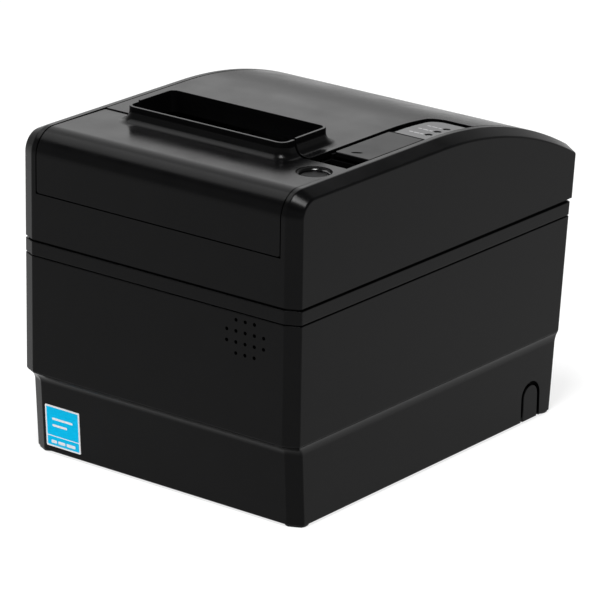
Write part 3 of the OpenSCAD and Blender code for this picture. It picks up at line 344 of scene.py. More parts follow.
quarter = np.linspace(0, np.pi / 2, 5)
ease_in, ease_out = 1 - np.cos(quarter), 1 - np.sin(quarter)
foot_r, inner_edge, tray_deck, corner_r = 0.4, 0.3, 2.0, 1.4
cove_rows, cove_pull_z, cove_pull_in = 7, 0.4, 0.82
z_leg, z_cove = z_base + plug_h - plug_w / 2, z_low - shoulder_h
bow = np.linspace(0, 1, cove_rows)
cove_z = z_low - shoulder_h * (2 * bow * (1 - bow) * cove_pull_z + bow ** 2)
cove = 2 * bow * (1 - bow) * cove_pull_in + bow ** 2
tray_z = np.concatenate([cove_z, [z_leg], z_base + foot_r * ease_out,
                         [z_base, z_base + inner_edge, z_leg, z_low - tray_deck]])
tray_in = np.concatenate([np.zeros(cove_rows + 1), foot_r * ease_in, [wall - inner_edge, wall, wall, wall]])
down_base = np.clip((z_cove - tray_z) / (z_cove - z_base), 0, 1)
down_base[-3:] = 1
tray_front = shoulder_in + (base_front_in - shoulder_in) * down_base
tray_side = np.full_like(tray_z, base_side_in)
tray_front[:cove_rows] = shoulder_top_in + (shoulder_in - shoulder_top_in) * cove
tray_side[:cove_rows] = shoulder_top_in + (base_side_in - shoulder_top_in) * cove
tray_loops = case_outline(front_y + tray_front, half_w - tray_side,
                          rear_wall(np.where(down_base < 1, tray_z, z_base)), tray_in, corner_r)
corner_points = 5
leg_col, rear_col = 2 * corner_points, 4 * corner_points - 1
right_side = tray_loops[:, leg_col - 1, 0]
leg_y0, leg_y1 = plug_y - plug_w / 2, plug_y + plug_w / 2
legs = stacked(right_side[:, None], [leg_y0, leg_y1])
tray_grid = at_level(np.concatenate([tray_loops[:, :leg_col], legs, tray_loops[:, leg_col:]], 1), tray_z)
tray_faces, tray_cols, tray_rear = cells(tray_grid.shape, wrap=True), tray_grid.shape[1], rear_col + 2
leg_out, leg_in = cove_rows, len(tray_z) - 2
tray_keep = np.ones(tray_faces.shape[:2], bool)
tray_keep[leg_out - 1:leg_in + 1, leg_col] = False
tray_keep[leg_out - 1:leg_out + 1, tray_rear] = tray_keep[leg_in - 1:leg_in + 1, tray_rear] = False
arch_yz = arc((plug_y, z_leg), plug_w / 2, np.linspace(np.pi, 0, 17)[1:-1])
leg_x = tray_grid[:, leg_col, 0]
slope_x = (leg_x[leg_out - 1] - leg_x[leg_out]) / (tray_z[leg_out - 1] - z_leg)
arch_out = stacked(leg_x[leg_out] + slope_x * (arch_yz[:, 1] - z_leg), *arch_yz.T)
arch_in = stacked(leg_x[leg_in], *arch_yz.T)
arch_rows = np.stack([np.concatenate([tray_grid[r, leg_col][None], a, tray_grid[r, leg_col + 1][None]])
                      for r, a in ((leg_out, arch_out), (leg_in, arch_in))])
over_arch = [np.concatenate([tray_grid[r, leg_col:leg_col + 2][::-1], line])
             for r, line in zip((leg_out - 1, leg_in + 1), arch_rows)]
leg_ends = [np.arange(leg_out, leg_in + 1)[None] * tray_cols + c for c in (leg_col, leg_col + 1)]
inlet_at, inlet_size = np.array([-42.0, 18.3]), np.array([27.0, 19.0])
switch_at, switch_size = np.array([-10.0, 18.3]), np.array([22.0, 15.0])
fit_gap, fit_r = 0.4, 0.4
rear_holes = [rear_window(*at, *(size + fit_gap), fit_r)
              for at, size in ((inlet_at, inlet_size), (switch_at, switch_size))]
piece("base_tray_shell", [
    (tray_grid, [tray_faces[tray_keep], *lids(tray_grid), *leg_ends]),
    (arch_rows, [cells(arch_rows.shape)]),
    *[(line, [np.arange(len(line))[None]]) for line in over_arch],
    *opened(tray_grid, (leg_out - 1, leg_out + 1), (leg_in - 1, leg_in + 1), tray_rear, rear_holes,
            rear_wall, lambda z: rear_wall(z_base, wall * np.cos(lean)))],
    case_plastic, "chassis", ["base_tray"])

# Base plate, its screws and feet: a folded steel plate closes the tray from below, held by four
# pan head screws, and stands on four moulded rubber discs glued into place.
def dress(material, *names):
    """Gives CAD nodes that keep their own shape their finish."""
    for name in names:
        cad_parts[name].data.materials.clear()
        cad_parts[name].data.materials.append(material)


def turned(profile, turns=48):
    """A profile of (radius, height) rows carried round the Z axis; rows of radius 0 close the ends."""
    r, z = np.asarray(profile, float).T[..., None]
    x, y = circle((0, 0), 1, turns).T
    return stacked(r * x, r * y, z)


def turned_part(profile, at=(0, 0, 0), turns=48):
    """A turned profile moved to its place, with its faces."""
    return loft(turned(profile, turns) + np.asarray(at, float))


sheet_steel = grained("sheet_steel", (0.42, 0.43, 0.44), (0.56, 0.57, 0.58), (0.28, 0.42), grain=0.25,
                      bump=0.12, stretch=(0.08, 1, 1), metallic=1.0)
screw_steel = grained("screw_steel", (0.5, 0.5, 0.51), (0.62, 0.62, 0.63), (0.22, 0.34), grain=0.15,
                      bump=0.08, patch=3, metallic=1.0)
foot_rubber = grained("foot_rubber", (0.008, 0.008, 0.008), (0.016, 0.016, 0.016), (0.7, 0.85), grain=0.3,
                      bump=0.3, patch=5, specular=0.25)
dress(sheet_steel, "base_plate")
dress(screw_steel, "base_screws")
foot_half, foot_h, foot_reach, pad_r = 5.0, 0.8, 3.95, 0.3
foot_x, foot_ys = 65.7, (-87.1, 81.17)
foot_groove = [[foot_half - 1.9, 0], [foot_half - 1.4, 0.12], [foot_half - 0.9, 0]]
foot_profile = np.concatenate([[[0, 0]], foot_groove,
                               stacked(foot_half - pad_r * ease_out, pad_r * ease_in),
                               [[foot_half, foot_h], [0, foot_h]]])


def foot_pad(x, y):
    """A turned pad whose points beyond the base's corner chamfer are moved back onto it."""
    grid = turned(foot_profile)
    way = np.array([np.sign(x) * edge_d, np.sign(y) * edge_x, 0]) / np.hypot(edge_x, edge_d)
    grid -= np.maximum(grid @ way - foot_reach, 0)[..., None] * way
    return loft(grid + (x, y, 0))


piece("rubber_feet_moulded", [foot_pad(x, y) for x in (-foot_x, foot_x) for y in foot_ys],
      foot_rubber, "chassis", ["rubber_feet"])

# Cable plug: the arched panel that closes the cable opening in the right side of the base, the
# same black ABS, snapped in from inside and flush with the wall. A flange and a sill on its back
# lie behind the gap round it.
def with_levels(loop, lines):
    """A closed line with a point added wherever it crosses one of the level lines."""
    levels, ahead = np.asarray(lines, float), np.roll(loop, -1, 0) - loop
    share = (levels - loop[:, 1:]) / np.where(ahead[:, 1:] == 0, np.inf, ahead[:, 1:])
    row, col = np.nonzero((share > 1e-9) & (share < 1 - 1e-9))
    added = loop[row] + share[row, col][:, None] * ahead[row]
    added[:, 1] = levels[col]
    order = np.argsort(np.concatenate([np.arange(len(loop)), row + share[row, col]]), kind="stable")
    return np.concatenate([loop, added])[order]


def panel(name, loops, place, thick, edge, material, body, nodes=(), lines=()):
    """A moulded skin with rounded edges. loops are its border (anticlockwise) and openings
    (clockwise) in the skin's own (u, v); the face is filled between them, quarter circles of radius
    edge carry it round every side, and a second face closes it at depth thick. place(u, v, depth)
    lays a point on the real surface, and the shading normals come from that surface."""
    def outward(loop):
        """The loop's outward normals, lengthened at its corners."""
        ahead = unit(np.roll(loop, -1, 0) - loop)
        n = stacked(ahead[:, 1], -ahead[:, 0])
        m = np.roll(n, 1, 0)
        return (n + m) / (1 + (n * m).sum(1, keepdims=True))

    loops = [with_levels(loop - edge * outward(loop), lines) for loop in loops]
    flat, way = np.concatenate(loops), np.concatenate([outward(loop) for loop in loops])
    faces = filled(loops, lines)
    n, following = len(flat), followers(loops)
    outs = np.concatenate([edge * np.sin(quarter), [edge, 0]])
    deep = np.concatenate([edge * ease_in, [thick, thick]])
    rings = flat + way * outs[:, None, None]
    points = place(rings[..., 0], rings[..., 1], deep[:, None])
    tiny = 1e-3
    up = unit(points[0] - place(*flat.T, tiny))
    aside = unit(place(*(flat + tiny * unit(way)).T, 0) - points[0])
    lay = np.cos(quarter)[:, None, None] * up + np.sin(quarter)[:, None, None] * aside
    tilt = [(lay[k], lay[k + 1]) for k in range(4)] + [(aside, aside), (-up, -up)]
    here = np.arange(n)
    quads = [k * n + stacked(here, n + here, n + following, following) for k in range(6)]
    normals = [up[faces].reshape(-1, 3)] + [np.stack([a, b, b[following], a[following]], 1).reshape(-1, 3)
                                            for a, b in tilt] + [-up[faces[:, ::-1]].reshape(-1, 3)]
    mesh = bpy.data.meshes.new(name)
    mesh.from_pydata((points.reshape(-1, 3) * mm).tolist(), [],
                     faces.tolist() + np.concatenate(quads).tolist() + (6 * n + faces[:, ::-1]).tolist())
    mesh.shade_smooth()
    mesh.normals_split_custom_set(np.concatenate(normals).tolist())
    settle(name, mesh, material, body, nodes)


def on_right(x):
    """An upright plane at x, seen from the right; depth goes in."""
    return lambda y, z, depth: stacked(x - depth, y, z)


plug_gap, back_side, back_foot, back_over = 1.7, 2.0, 3.2, 1.0
sill_side, sill_foot, sill_top = 0.3, 0.1, 3.5
plug_x, back_x, sill_x = half_w - base_side_in, 68.6, 69.4
plug_half, plug_top = plug_w / 2 - plug_gap, plug_h - plug_gap
crown = arc((plug_y, z_base + plug_top - plug_half), plug_half, np.linspace(0, np.pi, 21))
plug_loop = np.concatenate([[[plug_y - plug_half, z_base], [plug_y + plug_half, z_base]], crown])
back_loop = square_loop(leg_y0 - back_side, z_base + back_foot, leg_y1 + back_side,
                        z_base + plug_h + back_over, [0.5, 0.5, 6, 6], 4)
sill_loop = square(leg_y0 - sill_side, z_base + sill_foot, leg_y1 + sill_side, z_base + sill_top)
for name, loop, x, thick, edge in (("panel", plug_loop, plug_x, 2.6, 0.4),
                                   ("back", back_loop, back_x, 2.0, 0.3),
                                   ("sill", sill_loop, sill_x, 0.75, 0.1)):
    panel("cable_plug_" + name, [loop], on_right(x), thick, edge, case_plastic, "chassis",
          ["cable_plug"])

# Front tag: a square printed film label, cyan with a white border, stuck on the sloping front of the
# base. Its print is plain: a border, two bars and a row of dashes.
tag_mid, tag_half, tag_t, tag_border = (-53.7, 12.9), 9.4, 0.25, 0.75
ink_t, ink_edge, field_lift, bar_lift = 0.03, 0.008, 0.02, 0.04
front_rise = 31.7
front_slope = np.arctan((base_front_in - shoulder_in) / front_rise)
white_ink = grained("white_ink", (0.78, 0.79, 0.8), (0.86, 0.87, 0.88), (0.28, 0.36), grain=0.2, bump=0.02)
cyan_ink = grained("cyan_ink", (0.0, 0.51, 0.85), (0.001, 0.55, 0.92), (0.34, 0.42), grain=0.2, bump=0.02,
                   specular=0.03)


def on_front_base(x, v, depth):
    """The sloping front of the base; v runs up the slope from the tag's middle and depth goes in."""
    foot = front_y + base_front_in - (tag_mid[1] - z_base) * np.tan(front_slope)
    y = foot - v * np.sin(front_slope) + depth * np.cos(front_slope)
    return stacked(x, y, tag_mid[1] + v * np.cos(front_slope) + depth * np.sin(front_slope))


def on_tag(lift):
    """The tag's face raised by lift, so that an ink film lies on the one below it."""
    return lambda x, v, depth: on_front_base(tag_mid[0] + x, v, depth - lift)


tag_loop = square_loop(-tag_half, -tag_half, tag_half, tag_half, 0.5)
panel("front_tag_film", [tag_loop], on_tag(tag_t), tag_t, 0.04, white_ink, "chassis",
      ["front_tag"])
print_half, strip_top, field_foot = tag_half - tag_border, 4.75 - tag_half, 5.2 - tag_half
tag_bars = ((-5.6, 3.0, 5.6, 4.0), (-5.6, 0.0, 2.4, 1.0), (-6.6, -7.7, -3.6, -6.3), (-2.8, -7.7, 1.0, -6.3),
            (1.8, -7.7, 6.6, -6.3))
tag_print = [("field", (-print_half, field_foot, print_half, print_half), field_lift, cyan_ink),
             ("strip", (-print_half, -print_half, print_half, strip_top), field_lift, cyan_ink),
             *[("bar_%d" % k, bar, bar_lift, white_ink) for k, bar in enumerate(tag_bars)]]
for name, sides, lift, ink in tag_print:
    panel("front_tag_" + name, [square_loop(*sides)], on_tag(tag_t + lift), ink_t, ink_edge, ink, "chassis")

# Power supply inside the base: a solder masked circuit board with a taped transformer and sleeved
# can capacitors, on stand-offs of the base plate.
board_mask = grained("board_mask", (0.006, 0.045, 0.018), (0.012, 0.075, 0.03), (0.25, 0.4), grain=0.5,
                     bump=0.2, patch=3)
coil_tape = grained("coil_tape", (0.55, 0.4, 0.04), (0.68, 0.52, 0.08), (0.3, 0.45), grain=0.8, bump=0.15,
                    stretch=(1, 1, 4), patch=6)
can_sleeve = grained("can_sleeve", (0.012, 0.013, 0.02), (0.02, 0.021, 0.03), (0.3, 0.4), grain=0.6,
                     bump=0.05)
dress(board_mask, "power_board", "main_board", "interface_board", "panel_board")
dress(coil_tape, "transformer")
dress(can_sleeve, "capacitors")

# Power inlet and its switch: black nylon housings pressed into the rear wall of the base, the inlet
# with three plated pins, the switch with a rocker that tips on a moulded pin and has white marks.
black_nylon = grained("black_nylon", (0.006, 0.006, 0.007), (0.012, 0.012, 0.013), (0.45, 0.6), grain=0.3,
                      bump=0.15, patch=8, specular=0.3)
dress(black_nylon, "power_inlet", "switch_housing", "power_rocker")
plated_pin = grained("plated_pin", (0.6, 0.6, 0.6), (0.72, 0.72, 0.72), (0.2, 0.32), grain=0.2, bump=0.05,
                     patch=3, metallic=1.0)


def slab(outline, low, high):
    """An outline in plan carried from one level to the other, with both ends closed."""
    return loft(at_level(np.stack([outline, outline]), [low, high]), closed=True)


def block(lo, hi):
    """A box from its two corners, for ribs, ledges and pins."""
    return slab(square(*lo[:2], *hi[:2]), lo[2], hi[2])


def rod(x, z, w, h, y0, y1):
    """A box along Y from y0 to y1 that reaches w and h to each side of (x, z)."""
    return block((x - w, y0, z - h), (x + w, y1, z + h))


def at_rear(part, z):
    """A part given on the leaning rear wall at height z (X to the right, Y outward, Z up the wall)."""
    (x, y, v), faces = np.moveaxis(part[0], -1, 0), part[1]
    out, up = y * np.cos(lean) + v * np.sin(lean), v * np.cos(lean) - y * np.sin(lean)
    return stacked(x, rear_wall(z) + out, z + up), faces


pin_half, pin_back, pin_tip = (1, 2), -16.2, -4
piece("power_inlet_pins", [at_rear(rod(inlet_at[0] + x, v, *pin_half, pin_back, pin_tip), inlet_at[1])
                           for x, v in ((-7, -1.5), (7, -1.5), (0, 2.5))],
      plated_pin, "chassis", bevel=0.3)
rocker_deep, rocker_tilt, rocker_reach, rocker_face = -5.0, np.radians(8.0), 5.6, 4.83


def on_rocker(side):
    """One of the rocker's two faces, raised by a hair; u runs across it and v from its middle outward."""
    slope = np.arctan2(1.0, rocker_reach)

    def place(u, v, depth):
        """The face's slope, then the rocker's tilt, then the rear wall's lean."""
        out = rocker_face + v * np.sin(slope) - depth * np.cos(slope)
        up = side * (v * np.cos(slope) + depth * np.sin(slope))
        y = rocker_deep + out * np.cos(rocker_tilt) - up * np.sin(rocker_tilt)
        z = out * np.sin(rocker_tilt) + up * np.cos(rocker_tilt)
        return at_rear((stacked(switch_at[0] - side * u, y, z), None), switch_at[1])[0]
    return place


off_mark = [circle((0, 2.9), 1.3, 40), circle((0, 2.9), 0.85, 40)[::-1]]
for name, side, loops in (("on", 1, [square_loop(-0.25, 1.6, 0.25, 4.2, 0.1)]), ("off", -1, off_mark)):
    panel("power_rocker_" + name, loops, on_rocker(side), 0.03, 0.005, white_ink, "rocker")

# Lower case: the tall middle shell, black ABS, with a sounder grille of small holes in the front
# and a window for the sockets in the leaning rear wall.
z_band = 87.8
grille_mid, grille_step, grille_r, grille_rows = (46.7, 77.7), 4.7, 0.8, (3, 5, 5, 3)
port_z, port_w, port_h, port_r = 60.3, 96.0, 24.0, 1.5
rim, foot_round = 0.4, 0.7
case_z = np.concatenate([[z_low + wall, z_band - rim], z_band - rim * ease_out, z_band - rim * ease_in,
                         [z_low + foot_round], z_low + foot_round * ease_out])
case_in = np.concatenate([[wall, wall], wall - rim * ease_in, rim * ease_out, [0], foot_round * ease_in])
case_grid = at_level(case_outline(front_y, half_w, rear_wall(case_z), case_in, corner_r), case_z)
case_faces = cells(case_grid.shape, wrap=True)
outer_row, inner_row, front_col = 11, 0, case_grid.shape[1] - 1
case_keep = np.ones(case_faces.shape[:2], bool)
for row in (outer_row, inner_row):
    case_keep[row, [front_col, rear_col]] = False
spots = np.concatenate([[[(k - (n - 1) / 2) * grille_step, (1.5 - row) * grille_step] for k in range(n)]
                        for row, n in enumerate(grille_rows)]) + grille_mid
grille = list(circle(spots[:, None], grille_r, 20, -1))
windows = [rear_window(0, port_z, port_w, port_h, port_r)]
both_faces = (outer_row, outer_row + 1), (inner_row, inner_row + 1)
piece("lower_case_shell", [
    (case_grid, [case_faces[case_keep], *lids(case_grid)]),
    *opened(case_grid, *both_faces, front_col, grille, lambda z: front_y, lambda z: front_y + wall),
    *opened(case_grid, *both_faces, rear_col, windows, rear_wall, lambda z: rear_wall(z, wall))],
    case_plastic, "chassis", ["lower_case"])
dress(black_nylon, "sounder", "main_chips")

# Sockets at the rear: a stamped steel plate with the plated shells of the data sockets and the
# black cash drawer socket, soldered to their board, each with a black insert and gilt contacts.
dress(sheet_steel, "interface_plate")
dress(screw_steel, "serial_socket", "network_socket", "usb_socket")
dress(black_nylon, "drawer_socket")
contact_gold = grained("contact_gold", (0.75, 0.52, 0.16), (0.85, 0.62, 0.24), (0.2, 0.32), grain=0.2,
                       bump=0.05, patch=3, metallic=1.0)
sockets = {"serial": (-28.1, 30.0, 12.4, 2.0, 3.0), "network": (0.0, 16.4, 13.4, 1.5, 8.5),
           "usb": (19.1, 12.2, 11.0, 1.4, 8.5), "drawer": (36.6, 13.0, 11.6, 1.5, 8.5)}
port_floor, socket_deep, play, bite = -7.6, 11.0, 0.05, 0.1
serial_pitch, serial_row, jack_pitch, jack_ways = 2.77, 1.42, 1.02, {"network": 8, "drawer": 6}
serial_r, serial_tip_r, serial_out, serial_tip = 0.5, 0.25, 1.3, 1.6
tongue_half, tongue_end, leaf_half, leaf_x = (2.8, 1.6), -2.2, (0.45, 0.1), 1.25
wire_half, wire_low, wire_high, contact_end = 0.2, 1.2, 1.5, -3
for name, (x, wide, high, shell, face) in sockets.items():
    middle, w, h = port_floor + high / 2, wide / 2 - shell - play, high / 2 - shell - play
    foot = -face - bite
    insert = [rod(x, middle, w, h, -socket_deep - bite, -face)]
    if name == "serial":
        pin, faces = turned_part([[0, foot], [serial_r, foot], [serial_r, serial_out - face],
                                  [serial_tip_r, serial_tip - face], [0, serial_tip - face]], turns=16)
        pins = [(pin[..., [0, 2, 1]] + (x + (k - (n - 1) / 2) * serial_pitch, 0, middle + v), faces)
                for n, v in ((5, serial_row), (4, -serial_row)) for k in range(n)]
    elif name == "usb":
        insert.append(rod(x, middle, *tongue_half, foot, tongue_end))
        pins = [rod(x + u, middle + v, *leaf_half, -face, contact_end)
                for u in (-leaf_x, leaf_x) for v in (-tongue_half[1], tongue_half[1])]
    else:
        ways = jack_ways[name]
        pins = [block((x + u - wire_half, foot, middle - h + wire_low),
                      (x + u + wire_half, contact_end, middle - h + wire_high))
                for u in (np.arange(ways) - (ways - 1) / 2) * jack_pitch]
    piece(name + "_socket_insert", [at_rear(part, port_z) for part in insert], black_nylon, "chassis",
          bevel=0.15)
    piece(name + "_socket_contacts", [at_rear(part, port_z) for part in pins], contact_gold, "chassis")

# Middle frame: a shallow black band that shows as a line between two grooves, with the deck that
# carries the mechanism and the paper bucket.
z_seam, z_up, seam_thin, seam_deep, deck_t = 94.1, 95.1, 0.4, 1.3, 2.0
band_r = 0.4
low_z = z_band + seam_thin
band_z = np.concatenate([[z_seam - deck_t, z_band, z_band, low_z], low_z + band_r * ease_in,
                         z_seam - band_r * ease_out, [z_seam, z_up, z_up, z_seam]])
band_in = np.concatenate([[wall, wall, seam_deep, seam_deep], band_r * ease_out, band_r * ease_in,
                          [seam_deep, seam_deep, wall, wall]])
band_grid = at_level(case_outline(front_y, half_w, rear_wall(band_z), band_in, corner_r), band_z)
mech_hole = np.array([[-58.2, -81.5], [-58.2, -31.5], [-51.2, -31.5], [-51.2, -38.5], [43.2, -38.5],
                      [43.2, -81.5]])
roll_hole = square(-47.8, -25.3, 38.8, 65.3)[::-1]
deck, deck_parts = (z_seam, z_seam - deck_t), []
for row, z in zip((-1, 0), deck):
    loops = [band_grid[row, :, :2], mech_hole, roll_hole]
    deck_parts.append((at_level(np.concatenate(loops), z), [filled(loops)]))
deck_parts += [loft(at_level(np.stack([hole, hole]), deck)) for hole in (mech_hole, roll_hole)]
piece("middle_frame_band", [loft(band_grid), *deck_parts], case_plastic, "chassis",
      ["middle_frame"])
dress(screw_steel, "case_screws", "frame_screws")

# Paper bucket and its sensor: a smooth black ABS trough that the roll lies in, and the optical
# sensor that sees the roll run out.
bucket_plastic = grained("bucket_plastic", (0.006, 0.006, 0.0065), (0.011, 0.011, 0.012), (0.34, 0.46),
                         grain=0.5, bump=0.06, specular=0.25)
dress(bucket_plastic, "paper_bucket")
dress(black_nylon, "paper_end_sensor")

# Print mechanism: a bent steel frame with the stepper motor and its gear train, the thermal head on
# its aluminium sink behind a leaf spring, and the cutter with its motor above.
gear_acetal = grained("gear_acetal", (0.62, 0.61, 0.56), (0.72, 0.71, 0.66), (0.38, 0.5), grain=0.4,
                      bump=0.05)
sink_aluminium = grained("sink_aluminium", (0.6, 0.6, 0.61), (0.72, 0.72, 0.73), (0.3, 0.45), grain=0.3,
                         bump=0.2, stretch=(0.05, 1, 1), metallic=1.0)
head_ceramic = grained("head_ceramic", (0.55, 0.53, 0.47), (0.66, 0.64, 0.58), (0.3, 0.4), grain=0.2,
                       bump=0.05)
spring_steel = grained("spring_steel", (0.35, 0.35, 0.37), (0.5, 0.5, 0.52), (0.2, 0.32), grain=0.2,
                       bump=0.05, stretch=(0.1, 1, 1), metallic=1.0)
dress(sheet_steel, "mech_frame", "cutter_frame", "stepper_motor", "cutter_motor")
dress(screw_steel, "gear_stud", "latch_pin", "motor_pinion")
dress(gear_acetal, "idler_gear", "platen_gear", "latch_lever")
dress(head_ceramic, "print_head")
dress(sink_aluminium, "heat_sink")
dress(spring_steel, "head_spring", "cutter_blade", "fixed_blade")

# Upper case: the black ABS shell over everything, with chamfered side edges, a rounded front, a long
# arc that lowers the top to the rear, and one large opening that the two covers fill.
z_top, front_r, top_r, arc_y, rear_r = 142.2, 11.0, 204.0, -1.0, 4.0
open_half, cover_z, z_sill, z_sill_in, deep_side = 64.0, 115.2, 98.1, 96.4, 40.0
arc_mid = np.array([arc_y, z_top - top_r])
rear_face = np.array([np.cos(lean), -np.sin(lean)])
arc_end = lean + np.arcsin((rear_off - rear_r - rear_face @ arc_mid) / (top_r - rear_r))
arc_way = np.array([np.sin(arc_end), np.cos(arc_end)])
rear_start = arc_mid + (top_r - rear_r) * arc_way + rear_r * rear_face
path_turn = np.array([0, -1 / front_r, 0, -1 / top_r, -1 / rear_r, 0])
path_angle = np.array([np.pi / 2, np.pi / 2, 0, 0, -arc_end, -np.pi / 2 - lean])
path_at = np.array([[front_y, z_up], [front_y, z_top - front_r], [front_y + front_r, z_top], [arc_y, z_top],
                    arc_mid + top_r * arc_way, rear_start])
path_s = np.cumsum([0, z_top - front_r - z_up, front_r * np.pi / 2, arc_y - front_y - front_r,
                    top_r * arc_end, rear_r * (np.pi / 2 + lean - arc_end),
                    (rear_start[1] - z_up) / np.cos(lean)])


def roof(x, s, depth):
    """The upper body's skin. s is the way along its side view: up the front, round the front corner,
    along the flat top, down the long arc, round the rear corner and down the leaning rear wall.
    Each stretch has one curvature, so its points come from the turned angle; depth goes inward."""
    k = np.clip(np.searchsorted(path_s, s, side="right") - 1, 0, 5)
    t, turn, start = s - path_s[k], path_turn[k], path_angle[k]
    angle = start + turn * t
    bent = np.where(turn == 0, 1, turn)
    y = path_at[k, 0] + np.where(turn == 0, t * np.cos(start), (np.sin(angle) - np.sin(start)) / bent)
    z = path_at[k, 1] + np.where(turn == 0, t * np.sin(start), (np.cos(start) - np.cos(angle)) / bent)
    return stacked(x, y + depth * np.sin(angle), z - depth * np.cos(angle))


def along_top(y):
    """The way along the side view to a place y on the top."""
    return np.where(y < arc_y, path_s[3] + y - arc_y,
                    path_s[3] + top_r * np.arcsin(np.clip((y - arc_y) / top_r, -1, 1)))


def down_rear(z):
    """The way along the side view to a height z on the rear wall."""
    return path_s[6] - (z - z_up) / np.cos(lean)


bends = np.concatenate([np.linspace(path_s[1], path_s[2], 19), np.linspace(path_s[3], path_s[4], 29),
                        np.linspace(path_s[4], path_s[5], 9)[1:]])
stations = np.concatenate([[0, cover_z - z_up], bends, [down_rear(z_sill), path_s[6]]])
first_bend, last_bend = 1, len(stations) - 2
stations_in = stations.copy()
stations_in[last_bend] = down_rear(z_sill_in)
chamfer = rounded([[open_half, 0], [half_w - edge_x, 0], [half_w, edge_d], [half_w, deep_side],
                   [open_half, deep_side]], [0, 2.0, 1.2, 0, 0])[5:15]
inner = np.repeat([[half_w - edge_x - wall / 2, wall], [half_w - wall, wall + edge_d]], 5, 0)
shells = []
for s, top, side in ((stations, [[open_half, 0]], chamfer), (stations_in, [[open_half, wall]], inner)):
    section = np.concatenate([top, side])
    section = np.concatenate([section[::-1] * [-1, 1], section])
    shells.append(roof(section[None, :, 0], s[:, None], section[None, :, 1]))
rows, cols = shells[0].shape[:2]
skin = cells((rows, cols))
opening = cols // 2 - 1
skin_keep = np.ones(skin.shape[:2], bool)
skin_keep[first_bend:last_bend, opening] = False
number = np.arange(rows * cols).reshape(rows, cols)
ends = [number[:, 0][None], number[:, -1][None]]
rim_line = np.concatenate([number[0], number[-1][::-1]])
number = number[first_bend:last_bend + 1]
ring = np.concatenate([number[:, opening], number[:, opening + 1][::-1]])
count = rows * cols


def joined(line):
    """Faces that join a closed line of the outer shell to the same line of the inner one."""
    after = np.roll(line, -1)
    return stacked(line, after, after + count, line + count)


hinge_y, hinge_z, hinge_r, pin_play = 88.0, 110.0, 2.5, 0.05
ear_r, ear_x, ear_gap = 5.5, 70.5, 0.3


def tube_x(x0, x1, y, z, r_out, r_in, turns=32):
    """A tube along X: a rectangle in (radius, x) carried round its axis."""
    ring = turned([[r_in, x0], [r_out, x0], [r_out, x1], [r_in, x1], [r_in, x0]], turns)
    return loft(ring[..., [2, 0, 1]] + (0, y, z))


piece("upper_case_shell", [
    (np.concatenate(shells), [skin[skin_keep], skin[skin_keep] + count, *ends, *[e + count for e in ends],
                              joined(ring), joined(rim_line)])],
    case_plastic, "chassis", ["upper_case"], sharp=50, bevel=0.35)
ledge_half, ledge_deep, ledge_down, ledge_up = 60, 5, 8, 4
front_ledge = block((-ledge_half, front_y + wall, cover_z - ledge_down),
                    (ledge_half, front_y + ledge_deep, cover_z + ledge_up))
strip_ledge = block((62.5, -41, 133), (ear_x, 20, 135.5))
ears = [tube_x(x0, x1, hinge_y, hinge_z, ear_r, hinge_r + pin_play)
        for x0, x1 in ((open_half + ear_gap, ear_x), (-ear_x, -open_half - ear_gap))]
piece("upper_case_ledges", [front_ledge, strip_ledge, *ears],
      case_plastic, "chassis", ["upper_case"], bevel=0.3)

# Front cover: the fixed black cover in front of the slot, clipped into the upper case and 0.4 mm under
# it on top, with the dished mouth and sleeve of the open button and the front half of the raised lip
# round the paper slot.
cover_half, cover_gap, split_y, split_gap = 63.5, 0.5, -54.5, 0.8
slot_mid, slot_half, slot_r = np.array([-4.5, -47.2]), np.array([40.25, 14.0]), 3.0
lip_h, lip_wall, flare_r, under_lip = 6.8, 1.3, 4.7, 3.0
open_at, open_r, mouth_r, open_sunk = np.array([55.6, -66.4]), 6.2, 7.4, 2.0
slot_lo, slot_hi = slot_mid - slot_half - under_lip, slot_mid + slot_half + under_lip
front_sunk, sunk_y, front_edge = 0.4, -64.0, 0.15
front_end, notch_s = along_top(split_y - split_gap / 2), along_top(slot_lo[1])
front_foot = cover_z + cover_gap - z_up
front_loop = rounded([[-cover_half, front_foot], [cover_half, front_foot], [cover_half, front_end],
                      [slot_hi[0], front_end], [slot_hi[0], notch_s], [slot_lo[0], notch_s],
                      [slot_lo[0], front_end], [-cover_half, front_end]],
                     [1.2, 1.2, 0.8, 0.5, 5, 5, 0.5, 0.8])
button_hole = circle((open_at[0], along_top(open_at[1])), mouth_r, 48, -1)


def front_skin(x, s, depth):
    """The front cover's skin: flush with the case in front, and led smoothly under it round the corner."""
    share = np.clip((s - path_s[1]) / (along_top(sunk_y) - path_s[1]), 0, 1)
    return roof(x, s, depth + front_sunk * share ** 2 * (3 - 2 * share))


panel("front_cover_skin", [front_loop, button_hole], front_skin, wall, front_edge, case_plastic, "chassis",
      ["front_cover"], lines=bends[bends < front_end - 1])


